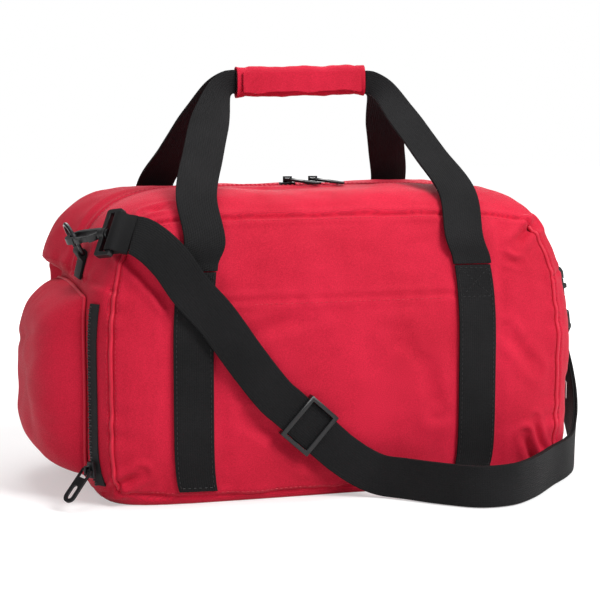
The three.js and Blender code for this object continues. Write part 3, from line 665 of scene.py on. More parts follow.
    def thread(self, name: str, lines: Sequence[np.ndarray], radius: float = 0.42,
               lift: float = 0.15) -> bpy.types.Object:
        """Lays short stitches along lines on the cloth.

        Args:
            name: the piece's name.
            lines: polylines along the cloth, in millimetres.
            radius: the thread's radius.
            lift: how far the thread stands over the cloth.

        Returns:
            All the stitches as one piece.
        """
        corners, faces = [], []
        shape = np.array([[-0.5, 0, -0.6], [-0.3, 0.8, 0.2], [-0.3, 0, 1.0], [-0.3, -0.8, 0.2],
                          [0.3, 0.8, 0.2], [0.3, 0, 1.0], [0.3, -0.8, 0.2], [0.5, 0, -0.6],
                          [-0.3, 0, -0.8], [0.3, 0, -0.8]])
        solid = [(0, 3, 2), (0, 2, 1), (0, 1, 8), (0, 8, 3), (1, 2, 5, 4), (2, 3, 6, 5), (8, 1, 4, 9), (3, 8, 9, 6),
                 (7, 4, 5), (7, 5, 6), (7, 9, 4), (7, 6, 9)]
        for line in lines:
            length = np.linalg.norm(np.diff(line, axis=0), axis=1).sum()
            count = max(int(length / self.pitch), 2)
            path, _ = resample(line, count + 1)
            mid, way = (path[1:] + path[:-1]) / 2, unit(path[1:] - path[:-1])
            _, up = HULL.place(mid)
            side = unit(np.cross(up, way))
            for m, w, u, s in zip(mid, way, up, side):
                start = len(corners)
                for a, b, c in shape:
                    corners.append(m + w * a * self.stitch + s * b * radius + u * (c * radius + lift))
                faces += [tuple(start + i for i in f) for f in solid]
        return new_object(name, np.array(corners) * MM, faces)

    def beside(self, line: np.ndarray, off: float) -> np.ndarray:
        """A line on the cloth beside another.

        Args:
            line: a polyline on the cut shape.
            off: how far beside it, to the left of its way.

        Returns:
            The new line, on the displaced cloth.
        """
        way = unit(np.gradient(line, axis=0))
        _, up = HULL.place(line)
        moved, normal = HULL.place(line + np.cross(up, way) * off)
        return moved + normal * self.displace(moved)[:, None]

    def stitching(self) -> bpy.types.Object:
        """Sews rows of stitches along the seams.

        Returns:
            The thread.
        """
        lines = []
        for name, line in self.seams.items():
            if "yoke" in name or "top" in name:
                trim = line[8:-8]
                lines += [self.beside(trim, 3.6 if name.startswith("rear") else -3.6)]
            elif "base" in name:
                lines += [self.beside(line[10:-10], -4.2 if name.startswith("rear") else 4.2)]
            else:
                lines += [self.beside(line[14:-14], 4.4), self.beside(line[14:-14], -4.4)]
        zipper = np.stack([np.linspace(-205, 222, 90), np.full(90, 11.0)], 1)
        for side in (FRONT, REAR):
            line = HULL.at_top(zipper[:, 0], zipper[:, 1] * side)
            lines.append(self.beside(line, 0.0))
        return self.thread("seam_stitches", lines)

    def piping(self) -> list[bpy.types.Object]:
        """Rolls the piping into the upright seams.

        Returns:
            Four cords of piping.
        """
        made = []
        for end in ("left", "right"):
            for side in ("front", "rear"):
                line = self.seams[f"{side}_{end}"]
                line = line[(line[:, 2] > 9) & (line[:, 2] < 252)]
                path, _ = resample(line, 110)
                _, up = HULL.place(path)
                path = path + up * np.clip(self.displace(path) + 1.7, -6.0, 2.0)[:, None]
                made.append(tube(f"piping_roll_{end}_{side}", path, 1.9, 10))
        return made

    def build(self) -> dict[str, bpy.types.Object]:
        """Builds the shell, its piping and its thread, and hides the CAD panels and piping.

        Returns:
            The pieces by finish.
        """
        self.plan()
        body = self.body()
        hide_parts("front_panel", "rear_panel", "left_end_panel", "right_end_panel", "base_panel",
                    "top_front_strip", "top_rear_strip")
        thread = self.stitching()
        rolls = self.piping()
        for roll in rolls:
            _, _, end, side = roll.name.split("_")
            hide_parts(f"piping_{end}_{side}")
        for piece in [body, thread, *rolls]:
            settle(piece, "bag")
        return {"cloth": [body], "thread": [thread], "piping": rolls}


def settle(piece: bpy.types.Object, body: str) -> None:
    """Puts a finished piece on its body.

    Args:
        piece: the piece.
        body: the CAD body that it rides on.
    """
    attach(piece, body)
    log.info("%s rides on %s", piece.name, body)


@dataclass
class ShoePocket:
    """The bulging shoe pocket on the left end, with the welt round its edge."""

    half_depth: float = 95.0
    mid: float = 108.0
    half_height: float = 88.0
    bulge: float = 41.0
    thick: float = 2.5
    lift: float = 3.2

    def dome(self) -> bpy.types.Object:
        """Builds the domed cloth of the pocket.

        Returns:
            The dome.
        """
        v, u = np.meshgrid(np.linspace(-1, 1, 97), np.linspace(-1, 1, 97), indexing="ij")
        y = self.half_depth * u * (1 - 0.06 * v * v)
        z = self.mid + self.half_height * v * (1 - 0.05 * u * u)
        base = HULL.at_end(y, z, LEFT, self.lift)
        fill = np.clip((1 - u ** 4) * (1 - v ** 4), 0, 1) ** 0.6
        fold = 2.4 * ripples(base * MM, 0.08, 21) + 1.0 * ripples(base * MM, 0.032, 22)
        turn = np.arctan2(v, u)
        near_edge = smoothstep(0.62, 0.93, np.maximum(np.abs(u), np.abs(v)))
        radial = np.sin(turn * 23 + 2 * np.sin(turn * 5)) * near_edge
        low = 2.6 * np.exp(-((v + 0.55) / 0.2) ** 2) - 2.4 * np.exp(-((v - 0.42 + 0.2 * u) / 0.07) ** 2)
        base[..., 0] -= (self.bulge + fold + 0.7 * radial + low * 0.8) * fill
        piece = laid_grid("shoe_pocket_cloth", base, self.thick, -1.0, 0.6, flip=True)
        smooth(piece, 60)
        return piece

    def rim(self) -> bpy.types.Object:
        """Rolls a cord round the pocket's edge.

        Returns:
            The cord.
        """
        t = np.linspace(0, 1, 60)
        u = np.concatenate([2 * t - 1, np.ones(60), 1 - 2 * t, -np.ones(60)])
        v = np.concatenate([-np.ones(60), 2 * t - 1, np.ones(60), 1 - 2 * t])
        y = self.half_depth * u * (1 - 0.06 * v * v)
        z = self.mid + self.half_height * v * (1 - 0.05 * u * u)
        path = HULL.at_end(y, z, LEFT, 2.2)
        path = resample(path, 200)[0]
        return tube("pocket_welt", path, 1.7, 8)

    def build(self) -> dict[str, list[bpy.types.Object]]:
        """Builds the pocket and its welt, and hides the CAD pocket.

        Returns:
            The pieces by finish.
        """
        dome, rim = self.dome(), self.rim()
        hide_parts("shoe_pocket")
        for piece in (dome, rim):
            settle(piece, "bag")
        return {"cloth": [dome], "piping": [rim]}


# ---------------------------------------------------------------- webbing


@dataclass
class Ribbon:
    """A length of webbing laid along stations, each a point and the way its face looks."""

    name: str
    stations: Sequence[tuple[Sequence[float], Sequence[float]]]
    width: float = 38.0
    thick: float = 2.0
    steps: int = 60
    narrow: Callable[[np.ndarray], np.ndarray] | None = None
    shift: float = 0.0
    level: float = 0.0

    def frames(self) -> tuple[np.ndarray, np.ndarray, np.ndarray]:
        """Centre line, across and face directions.

        Returns:
            Three arrays of one row for each step.
        """
        data = np.array([[*p, *(np.array(f) / np.linalg.norm(f))] for p, f in self.stations], dtype=float)
        weighted = data * [1, 1, 1, 12, 12, 12]
        route = spline(weighted, self.steps * 3)
        along, _ = resample(route[:, :3], self.steps)
        run = np.concatenate([[0], np.cumsum(np.linalg.norm(np.diff(route[:, :3], axis=0), axis=1))])
        at = np.linspace(0, run[-1], self.steps)
        face = unit(np.stack([np.interp(at, run, route[:, k]) for k in (3, 4, 5)], 1))
        way = unit(np.gradient(along, axis=0))
        across = unit(np.cross(way, face))
        if self.level:
            share = smoothstep(self.level, 0.0, np.linspace(0, 1, self.steps))[:, None]
            across = across * (1 - share) + share * [np.sign(across[0, 0]), 0, 0]
        face = unit(np.cross(across, way))
        return along, across, face

    def build(self) -> bpy.types.Object:
        """Lays a grid along the stations and thickens it.

        Returns:
            The webbing.
        """
        along, across, face = self.frames()
        t = np.linspace(0, 1, self.steps)
        share = self.narrow(t) if self.narrow else np.ones(self.steps)
        over = np.linspace(-0.5, 0.5, 13)
        cup = 0.5 * (1 - (2 * over) ** 2) - 0.25
        wob = 0.35 * np.sin(t * self.steps / 4.1 + 1.3)[:, None]
        lay = along[:, None] + across[:, None] * (over[None, :, None] * self.width * share[:, None, None])
        rise = self.shift + cup[None, :] * 0.25 + wob * 0.3 * (np.abs(over) * 2) ** 2
        lay = lay + face[:, None] * rise[..., None]
        piece = laid_grid(self.name, lay, self.thick, 0.0, min(0.6, self.thick * 0.3))
        smooth(piece, 50)
        return piece


BAR_LEFT = np.array([-201.751, -104.644, 250.114])
TAIL_LEFT = np.array([0.855, -0.503, -0.126])
BAR_RIGHT = np.array([272.575, -20.0, 138.667])
TAIL_RIGHT = np.array([0.0995, 0.0, -0.995])
DOWN = np.array([0.745, 0.0, -0.667])
GLIDE = np.array([-31.0, -137.5, 71.0])


@dataclass
class ShoulderStrap:
    """The strap: its run over the front, along the floor and up the right end, and its return."""

    width: float = 38.0
    thick: float = 2.0
    under: float = 2.8
    return_from: int = 13

    def route(self) -> list[tuple[Sequence[float], Sequence[float]]]:
        """Lists the strap's stations.

        Returns:
            Points and face directions.
        """
        first = [(BAR_LEFT + TAIL_LEFT * s, (-0.370, -0.763, 0.530)) for s in (16.4, 21.4)]
        upper = [((-172, -125, 240), (-0.2, -0.85, 0.4)), ((-157, -133, 224), (-0.05, -1, 0.15)),
                 ((-141, -136.5, 200), (0, -1, 0)), ((-118, -137, 174), (0, -1, 0)), ((-89, -138, 133), (0, -1, 0))]
        straight = [(GLIDE + DOWN * s, (0, -1, 0)) for s in (-42, -28, -14, 0, 14, 28, 40)]
        lower = [((17, -139, 31), (-0.1, -1, 0)), ((35, -145, 22), (-0.4, -0.9, 0)),
                 ((56, -162, 20.5), (-0.7, -0.7, 0)),
                 ((82, -187, 20), (-0.65, -0.75, 0)), ((111, -208, 20), (-0.3, -0.95, 0)),
                 ((142, -207, 20), (0.35, -0.93, 0)), ((171, -188, 20), (0.62, -0.78, 0)),
                 ((211, -146, 20), (0.74, -0.67, 0)), ((241, -115, 20), (0.75, -0.66, 0)),
                 ((262, -84, 21), (0.88, -0.46, 0)), ((275, -57, 36), (0.97, -0.25, 0)),
                 ((280, -36, 62), (1, -0.05, 0)),
                 ((279, -24, 92), (1, 0, 0))]
        last = [(BAR_RIGHT + TAIL_RIGHT * s, (1, 0, 0.1)) for s in (21.4, 16.4)]
        return first + upper + straight + lower + last

    def build(self) -> dict[str, list[bpy.types.Object]]:
        """Builds the strap and its return.

        Returns:
            The pieces by finish.
        """
        route = self.route()
        strap = Ribbon("strap_webbing", route, self.width, self.thick, 260).build()
        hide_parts("shoulder_strap")
        settle(strap, "bag")
        back = route[self.return_from:]
        lower = Ribbon("strap_return_webbing", back, self.width, self.thick, 200, shift=-self.under).build()
        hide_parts("strap_return")
        settle(lower, "bag")
        return {"webbing": [strap, lower]}


@dataclass
class Handles:
    """The sewn webs, the four free legs and the wrapped grip with its flap."""

    x: float = 138.0
    roots: tuple[tuple[float, float, float], ...] = ((138.0, 218.2, 1.7), (138.0, 227.0, 2.1), (135.0, 247.0, 5.7))
    low: float = 9.0
    high: float = 217.0
    width: float = 38.0
    thick: float = 2.0

    def sewn(self, end: int, side: int) -> bpy.types.Object:
        """Builds the web sewn to one face.

        Args:
            end: LEFT or RIGHT.
            side: FRONT or REAR.

        Returns:
            The sewn web.
        """
        z = np.linspace(self.low, self.high, 70)
        over = np.linspace(-0.5, 0.5, 13) * self.width
        grid_z, grid_x = np.meshgrid(z, over, indexing="ij")
        lay = HULL.at_face(self.x * end + grid_x * (-side), grid_z, side, 1.7)
        name = f"web_{'front' if side == FRONT else 'rear'}_{'left' if end == LEFT else 'right'}"
        piece = laid_grid(name, lay, self.thick, 0.0, 0.5, flip=True)
        smooth(piece, 50)
        return piece

    def leg(self, end: int, side: int) -> bpy.types.Object:
        """Builds one free leg, from the top of the sewn web to the grip.

        Args:
            end: LEFT or RIGHT.
            side: FRONT or REAR.

        Returns:
            The leg.
        """
        s, f = end, side
        root = [HULL.at_face(np.array(x * s), np.array(z), f, lift) for x, z, lift in self.roots]
        stations = [(root[0], (0, f, 0.2)), (root[1], (0, f, 0.4)), (root[2], (0, f, 0.7)),
                    ((127 * s, 101 * f, 281), (0, f, 0.9)), ((112 * s, 63 * f, 318), (0.2 * s, f, 0.7)),
                    ((95 * s, 27 * f, 356), (0.2 * s, f, 0.4)), ((82.4 * s, 9 * f, 379), (0, f, 0.1)),
                    ((72.4 * s, 3.4 * f, 385.5), (0, f, 0.02)), ((66.4 * s, 3.4 * f, 386), (0, f, 0))]
        name = f"handle_leg_{'front' if side == FRONT else 'rear'}_{'left' if end == LEFT else 'right'}"
        narrow = lambda t: 1 - (15 / 38) * smoothstep(0.70, 0.97, t)
        return Ribbon(name, stations, self.width, 2.2, 90, narrow, level=0.45).build()

    def wrap(self) -> bpy.types.Object:
        """Rolls the cloth wrap round the folded webs.

        Returns:
            The wrap, an open roll with hems.
        """
        t = np.linspace(-1, 1, 61)
        turn = np.linspace(0, 2 * math.pi, 41)
        grid_t, grid_a = np.meshgrid(t, turn, indexing="ij")
        hem = np.exp(-((np.abs(grid_t) - 0.86) / 0.035) ** 2)
        lip = smoothstep(0.93, 1.0, np.abs(grid_t))
        ca, sa = np.cos(grid_a), np.sin(grid_a)
        y = 8.3 * np.sign(ca) * np.abs(ca) ** 0.75
        z = 14.6 * np.sign(sa) * np.abs(sa) ** 0.72
        swell = 1 + 0.03 * np.sin(grid_t * 9 + grid_a) - 0.05 * hem + 0.05 * lip
        rise = 387 + 1.4 * grid_t
        lay = np.stack([65 * grid_t, y * swell, rise + z * swell], -1)
        lay += 0.35 * ripples(lay * MM, 0.018, 31)[..., None] * np.stack([0 * ca, ca, sa], -1)
        lay[:, -1] = lay[:, 0]
        roll = laid_grid("grip_wrap_cloth", lay, 1.6, -1.0, 0.0)
        only(roll)
        bpy.ops.object.mode_set(mode="EDIT")
        bpy.ops.mesh.select_all(action="SELECT")
        bpy.ops.mesh.remove_doubles(threshold=1e-6)
        bpy.ops.object.mode_set(mode="OBJECT")
        smooth(roll, 60)
        return roll

    def flap(self) -> bpy.types.Object:
        """Hangs the loose edge of the wrap over its front.

        Returns:
            The flap.
        """
        t = np.linspace(-1, 1, 61)
        drop = np.linspace(0, 1, 17)
        grid_d, grid_t = np.meshgrid(drop, t, indexing="ij")
        wave = 1.2 * np.sin(grid_t * 7.0 + 0.6) + 0.7 * np.sin(grid_t * 15)
        lay = np.stack([60 * grid_t, -9.7 - 0.9 * grid_d - 0.5 * grid_d * np.sin(grid_t * 11) ** 2,
                        396.6 + 1.4 * grid_t - (20 + 0.6 * wave) * grid_d], -1)
        piece = laid_grid("grip_flap_cloth", lay, 1.0, 0.0, 0.3)
        smooth(piece, 50)
        return piece

    def core(self, side: int) -> bpy.types.Object:
        """Runs the folded webbing through the grip.

        Args:
            side: FRONT or REAR.

        Returns:
            The folded web.
        """
        x = np.linspace(-65, 65, 20)
        z = np.linspace(376.5, 397.5, 7)
        grid_x, grid_z = np.meshgrid(x, z, indexing="ij")
        lay = np.stack([grid_x, np.full(grid_x.shape, 3.4 * side), grid_z], -1)
        piece = laid_grid(f"grip_core_{'front' if side == FRONT else 'rear'}", lay, 4.6, 0.0, 1.4)
        smooth(piece, 50)
        return piece

    def thread(self, shell: "ClothShell") -> list[bpy.types.Object]:
        """Sews the webs down with edge rows and a crossed box at the top.

        Args:
            shell: the cloth that they are sewn to.

        Returns:
            The thread.
        """
        lines = []
        for side in (FRONT, REAR):
            for end in (LEFT, RIGHT):
                at = lambda xs, zs: HULL.at_face(np.array(xs, float) + self.x * end, np.array(zs, float), side, 2.75)
                for off in (-16.2, 16.2):
                    z = np.linspace(self.low + 4, self.high - 3, 50)
                    lines.append(at(np.full(50, off), z))
                top, low = self.high - 3, self.high - 32
                for xs, zs in (((-16, 16), (top, top)), ((-16, 16), (low, low)), ((-16, 16), (top, low)),
                               ((-16, 16), (low, top)), ((-16, 16), (self.low + 5, self.low + 5))):
                    lines.append(at(np.linspace(*xs, 12), np.linspace(*zs, 12)))
        return [shell.thread("web_stitches", lines, 0.4, 0.1)]

    def build(self, shell: "ClothShell") -> dict[str, list[bpy.types.Object]]:
        """Builds every part of the handles and hides the CAD parts they replace.

        Args:
            shell: the cloth that the webs are sewn to.

        Returns:
            The pieces by finish.
        """
        made: dict[str, list[bpy.types.Object]] = {"webbing": [], "cloth": [], "dark_thread": []}
        for side, face in ((FRONT, "front"), (REAR, "rear")):
            for end, word in ((LEFT, "left"), (RIGHT, "right")):
                web = self.sewn(end, side)
                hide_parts(f"sewn_web_{face}_{word}")
                settle(web, "bag")
                leg = self.leg(end, side)
                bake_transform(leg)
                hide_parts(f"leg_{face}_{word}")
                log.info("%s bends from bag to handle", leg.name)
                made["webbing"] += [web, leg]
            core = self.core(side)
            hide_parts(f"grip_web_{face}")
            settle(core, "handle")
            made["webbing"].append(core)
        wrap, flap = self.wrap(), self.flap()
        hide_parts("grip_wrap")
        settle(wrap, "handle")
        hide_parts("grip_flap")
        settle(flap, "flap")
        made["cloth"] += [wrap, flap]
        for piece in self.thread(shell):
            settle(piece, "bag")
            made["dark_thread"].append(piece)
        return made


@dataclass
class Zips:
    """The rows of teeth on the zips."""

    pitch: float = 2.4
    top_start: float = 207.5
    top_sink: float = 1.9
    top_wide: float = 6.0
    shoe_lift: float = 1.9
    shoe_wide: float = 4.6
    shoe_y: float = -104.0
    shoe_low: float = 14.0
    shoe_high: float = 185.0

    def teeth(self, name: str, line: np.ndarray, up: np.ndarray, wide: float) -> bpy.types.Object:
        """Lays interlocked teeth along a line.

        Args:
            name: the piece's name.
            line: the zip's middle, one row a point, in millimetres.
            up: the outward way at each point.
            wide: how wide the closed row is.

        Returns:
            The teeth as one piece.
        """
        length = np.linalg.norm(np.diff(line, axis=0), axis=1).sum()
        count = int(length / self.pitch)
        path, at = resample(line, count)
        share = np.linspace(0, 1, len(up))
        ups = unit(np.stack([np.interp(np.linspace(0, 1, count), share, up[:, k]) for k in range(3)], 1))
        way = unit(np.gradient(path, axis=0))
        side = unit(np.cross(ups, way))
        corners, faces = [], []
        half = np.array([[-0.5, -1, 0], [0.5, -1, 0], [0.5, 0.45, 0], [-0.5, 0.45, 0],
                         [-0.34, -0.8, 1], [0.34, -0.8, 1], [0.3, 0.3, 1], [-0.3, 0.3, 1]])
        solid = [(0, 1, 5, 4), (1, 2, 6, 5), (2, 3, 7, 6), (3, 0, 4, 7), (4, 5, 6, 7), (3, 2, 1, 0)]
        for k, (p, w, s, u) in enumerate(zip(path, way, side, ups)):
            hand = 1 if k % 2 else -1
            start = len(corners)
            for a, b, c in half:
                corners.append(p + w * a * 1.5 + s * b * wide / 2 * hand + u * (c * 1.5 - 0.6))
            order = solid if hand < 0 else [tuple(reversed(f)) for f in solid]
            faces += [tuple(start + i for i in f) for f in order]
        piece = new_object(name, np.array(corners) * MM, faces)
        outward(piece)
        return piece

    def build(self) -> dict[str, list[bpy.types.Object]]:
        """Builds both rows of teeth.

        Returns:
            The pieces by finish.
        """
        rise = np.linspace(self.top_start, HULL.height - 1, 14)
        end_left = HULL.at_end(np.zeros(14), rise, LEFT)
        middle = HULL.at_top(np.linspace(1 - HULL.left, HULL.right - 1, 120), np.zeros(120))
        end_right = HULL.at_end(np.zeros(14), np.linspace(HULL.height - 1, self.top_start, 14), RIGHT)
        line = np.vstack([end_left, middle, end_right])
        line, up = HULL.place(line)
        top = self.teeth("top_zip_teeth", line - up * self.top_sink, up, self.top_wide)
        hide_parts("top_zip_coil_front", "top_zip_coil_rear")
        z = np.linspace(self.shoe_low, self.shoe_high, 60)
        line, up = HULL.place(np.stack([np.full(60, -HULL.left), np.full(60, self.shoe_y), z], 1))
        shoe = self.teeth("shoe_zip_teeth", line + up * self.shoe_lift, up, self.shoe_wide)
        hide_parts("shoe_zip_coil")
        for piece in (top, shoe):
            settle(piece, "bag")
        return {"coil": [top, shoe]}


@dataclass
class Hardware:
    """Moulded and wire fittings: a smoothed copy of each, with rounded edges."""

    rounded: tuple[tuple[str, str, str, float], ...] = (
        ("top_slider_left", "zip_slider_left", "metal", 0.5), ("top_slider_right", "zip_slider_right", "metal", 0.5),
        ("top_pull_left", "zip_pull_left", "metal", 0.35), ("top_pull_right", "zip_pull_right", "metal", 0.35),
        ("shoe_slider", "shoe_zip_slider", "metal", 0.5), ("shoe_pull", "shoe_zip_pull", "metal", 0.35),
        ("d_ring_left", "ring_left", "metal", 0.0), ("d_ring_right", "ring_right", "metal", 0.0),
        ("hook_left", "snap_left", "plastic", 0.5), ("hook_right", "snap_right", "plastic", 0.5),
        ("hook_gate_left", "gate_left", "plastic", 0.4), ("hook_gate_right", "gate_right", "plastic", 0.4),
        ("hook_frame_left", "frame_left", "plastic", 0.5), ("hook_frame_right", "frame_right", "plastic", 0.5),
        ("tri_glide", "adjuster", "plastic", 0.8), ("care_label", "bag", "label", 0.1),
        ("ring_tab_left", "bag", "webbing", 0.3), ("ring_tab_right", "bag", "webbing", 0.3),
        ("strap_loop_left", "bag", "webbing", 0.3), ("strap_loop_right", "bag", "webbing", 0.3),
        ("top_zip_tape_front", "bag", "tape", 0.0), ("top_zip_tape_rear", "bag", "tape", 0.0),
        ("shoe_zip_tape", "bag", "tape", 0.0), ("strap_return_end", "", "webbing", 0.4))
    slots: dict[str, Cloth] = field(default_factory=lambda: {
        "metal": Cloth.METAL, "plastic": Cloth.PLASTIC, "label": Cloth.LABEL, "webbing": Cloth.WEBBING,
        "tape": Cloth.TAPE})

    nodes: dict[str, bpy.types.Object] = field(default_factory=dict)

    def rounded_copy(self, node: str, radius: float) -> bpy.types.Object:
        """Copies a CAD node, merges it and rounds its edges.

        Args:
            node: the CAD node.
            radius: how far edges are rounded, in millimetres.

        Returns:
            The smoothed copy.
        """
        mesh = self.nodes[node].data.copy()
        mesh.materials.clear()
        piece = bpy.data.objects.new(f"{node}_finished", mesh)
        piece.data.name = piece.name
        bpy.context.scene.collection.objects.link(piece)
        only(piece)
        bpy.ops.object.mode_set(mode="EDIT")
        bpy.ops.mesh.select_all(action="SELECT")
        bpy.ops.mesh.remove_doubles(threshold=2e-6)
        bpy.ops.mesh.select_all(action="SELECT")
        bpy.ops.mesh.dissolve_limited(angle_limit=math.radians(2))
        bpy.ops.object.mode_set(mode="OBJECT")
        if mesh.has_custom_normals:
            bpy.ops.mesh.customdata_custom_splitnormals_clear()
        if radius:
            edge = piece.modifiers.new("edge", "BEVEL")
            edge.width, edge.segments, edge.limit_method = radius * MM, 3, "ANGLE"
            edge.angle_limit = math.radians(40)
            edge.use_clamp_overlap = True
            edge.harden_normals = False
        faces = piece.modifiers.new("faces", "TRIANGULATE")
        faces.keep_custom_normals = False
        apply_modifiers(piece)
        smooth(piece, 42)
        return piece

    def build(self) -> dict[str, list[bpy.types.Object]]:
        """Builds every smoothed fitting.

        Returns:
            The pieces by finish.
        """
        made: dict[str, list[bpy.types.Object]] = {}
        for node, body, finish, radius in self.rounded:
            piece = self.rounded_copy(node, radius)
            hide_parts(node)
            if body:
                settle(piece, body)
            else:
                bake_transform(piece)
            made.setdefault(finish, []).append(piece)
        return made


# ---------------------------------------------------------------- finishes


def srgb(red: int, green: int, blue: int) -> tuple[float, float, float, float]:
    """Turns an 8-bit display colour into the linear one that shaders take.

    Args:
        red: 0 to 255.
        green: 0 to 255.
        blue: 0 to 255.

    Returns:
        A linear colour with alpha 1.
    """
    line = lambda v: v / 12.92 if v <= 0.04045 else ((v + 0.055) / 1.055) ** 2.4
    return (line(red / 255), line(green / 255), line(blue / 255), 1.0)


class Graph:
    """A short hand for laying shader nodes in one tree."""

    def __init__(self, tree: bpy.types.NodeTree) -> None:
        """Takes the tree to lay nodes in."""
        self.tree = tree

    def add(self, kind: str, inputs: dict | None = None, **settings) -> bpy.types.Node:
        """Adds one node.

        Args:
            kind: the node's type name.
            inputs: values or sockets for its inputs, by name or number.
            settings: attributes set on the node.

        Returns:
            The node.
        """
        node = self.tree.nodes.new(kind)
        for key, value in settings.items():
            setattr(node, key, value)
        for key, value in (inputs or {}).items():
            if isinstance(value, bpy.types.NodeSocket):
                self.tree.links.new(value, node.inputs[key])
            else:
                node.inputs[key].default_value = value
        return node

    def math(self, operation: str, a: object, b: object = 0.0, c: object = 0.0) -> bpy.types.NodeSocket:
        """Adds a Math node and returns its value.

        Args:
            operation: what the node does.
            a: the first value or socket.
            b: the second.
            c: the third.

        Returns:
            The result's socket.
        """
        return self.add("ShaderNodeMath", {0: a, 1: b, 2: c}, operation=operation).outputs[0]

    def mix(self, share: object, a: object, b: object) -> bpy.types.NodeSocket:
        """Mixes two colours.

        Args:
            share: how much of the second.
            a: the first colour or socket.
            b: the second.

        Returns:
            The mixed colour's socket.
        """
        node = self.add("ShaderNodeMix", {0: share, 6: a, 7: b}, data_type="RGBA")
        return node.outputs[2]


def new_group(name: str, inputs: dict[str, float], outputs: dict[str, str]) -> tuple[bpy.types.NodeTree, Graph, dict]:
    """Starts a shader node group with named sockets.

    Args:
        name: the group's name.
        inputs: the inputs and their starting values.
        outputs: the outputs and their socket types.

    Returns:
        The group, a graph to lay nodes in, and its input and output nodes by "in" and "out".
    """
    tree = bpy.data.node_groups.new(name, "ShaderNodeTree")
    for word, value in inputs.items():
        tree.interface.new_socket(word, in_out="INPUT", socket_type="NodeSocketFloat").default_value = value
    for word, kind in outputs.items():
        tree.interface.new_socket(word, in_out="OUTPUT", socket_type=kind)
    graph = Graph(tree)
    return tree, graph, {"in": graph.add("NodeGroupInput"), "out": graph.add("NodeGroupOutput")}


def weave_group() -> bpy.types.NodeTree:
    """Plain weave that follows a piece's UV, which is in millimetres."""
    tree, g, ends = new_group("plain_weave", {"Warp": 0.9, "Weft": 0.9},
                              {"Height": "NodeSocketFloat", "Gap": "NodeSocketFloat"})
    uv = g.add("ShaderNodeUVMap", uv_map="UVMap").outputs[0]
    split = g.add("ShaderNodeSeparateXYZ", {0: uv})
    a = g.math("SINE", g.math("MULTIPLY", g.math("DIVIDE", split.outputs[0], ends["in"].outputs["Warp"]), math.pi))
    b = g.math("SINE", g.math("MULTIPLY", g.math("DIVIDE", split.outputs[1], ends["in"].outputs["Weft"]), math.pi))
    crossing = g.math("MULTIPLY", a, b)
    over = g.math("ADD", g.math("MULTIPLY", crossing, 0.5), 0.5)
    warp, weft = g.math("ABSOLUTE", a), g.math("ABSOLUTE", b)
    height = g.math("ADD", g.math("MULTIPLY", warp, over), g.math("MULTIPLY", weft, g.math("SUBTRACT", 1.0, over)))
    gap = g.math("SUBTRACT", 1.0, g.math("MULTIPLY", warp, weft))
    tree.links.new(height, ends["out"].inputs["Height"])
    tree.links.new(gap, ends["out"].inputs["Gap"])
    return tree


def dust_group() -> bpy.types.NodeTree:
    """Soft cloudy variation and fine speckle over Object coordinates."""
    tree, g, ends = new_group("cloudy_wear", {"Clouds": 14.0, "Specks": 900.0},
                              {"Clouds": "NodeSocketFloat", "Specks": "NodeSocketFloat"})
    place = g.add("ShaderNodeTexCoord").outputs["Object"]
    clouds = g.add("ShaderNodeTexNoise", {"Vector": place, "Scale": ends["in"].outputs["Clouds"], "Detail": 4.0})
    specks = g.add("ShaderNodeTexNoise", {"Vector": place, "Scale": ends["in"].outputs["Specks"], "Detail": 2.0})
    tree.links.new(clouds.outputs[0], ends["out"].inputs["Clouds"])
    tree.links.new(specks.outputs[0], ends["out"].inputs["Specks"])
    return tree


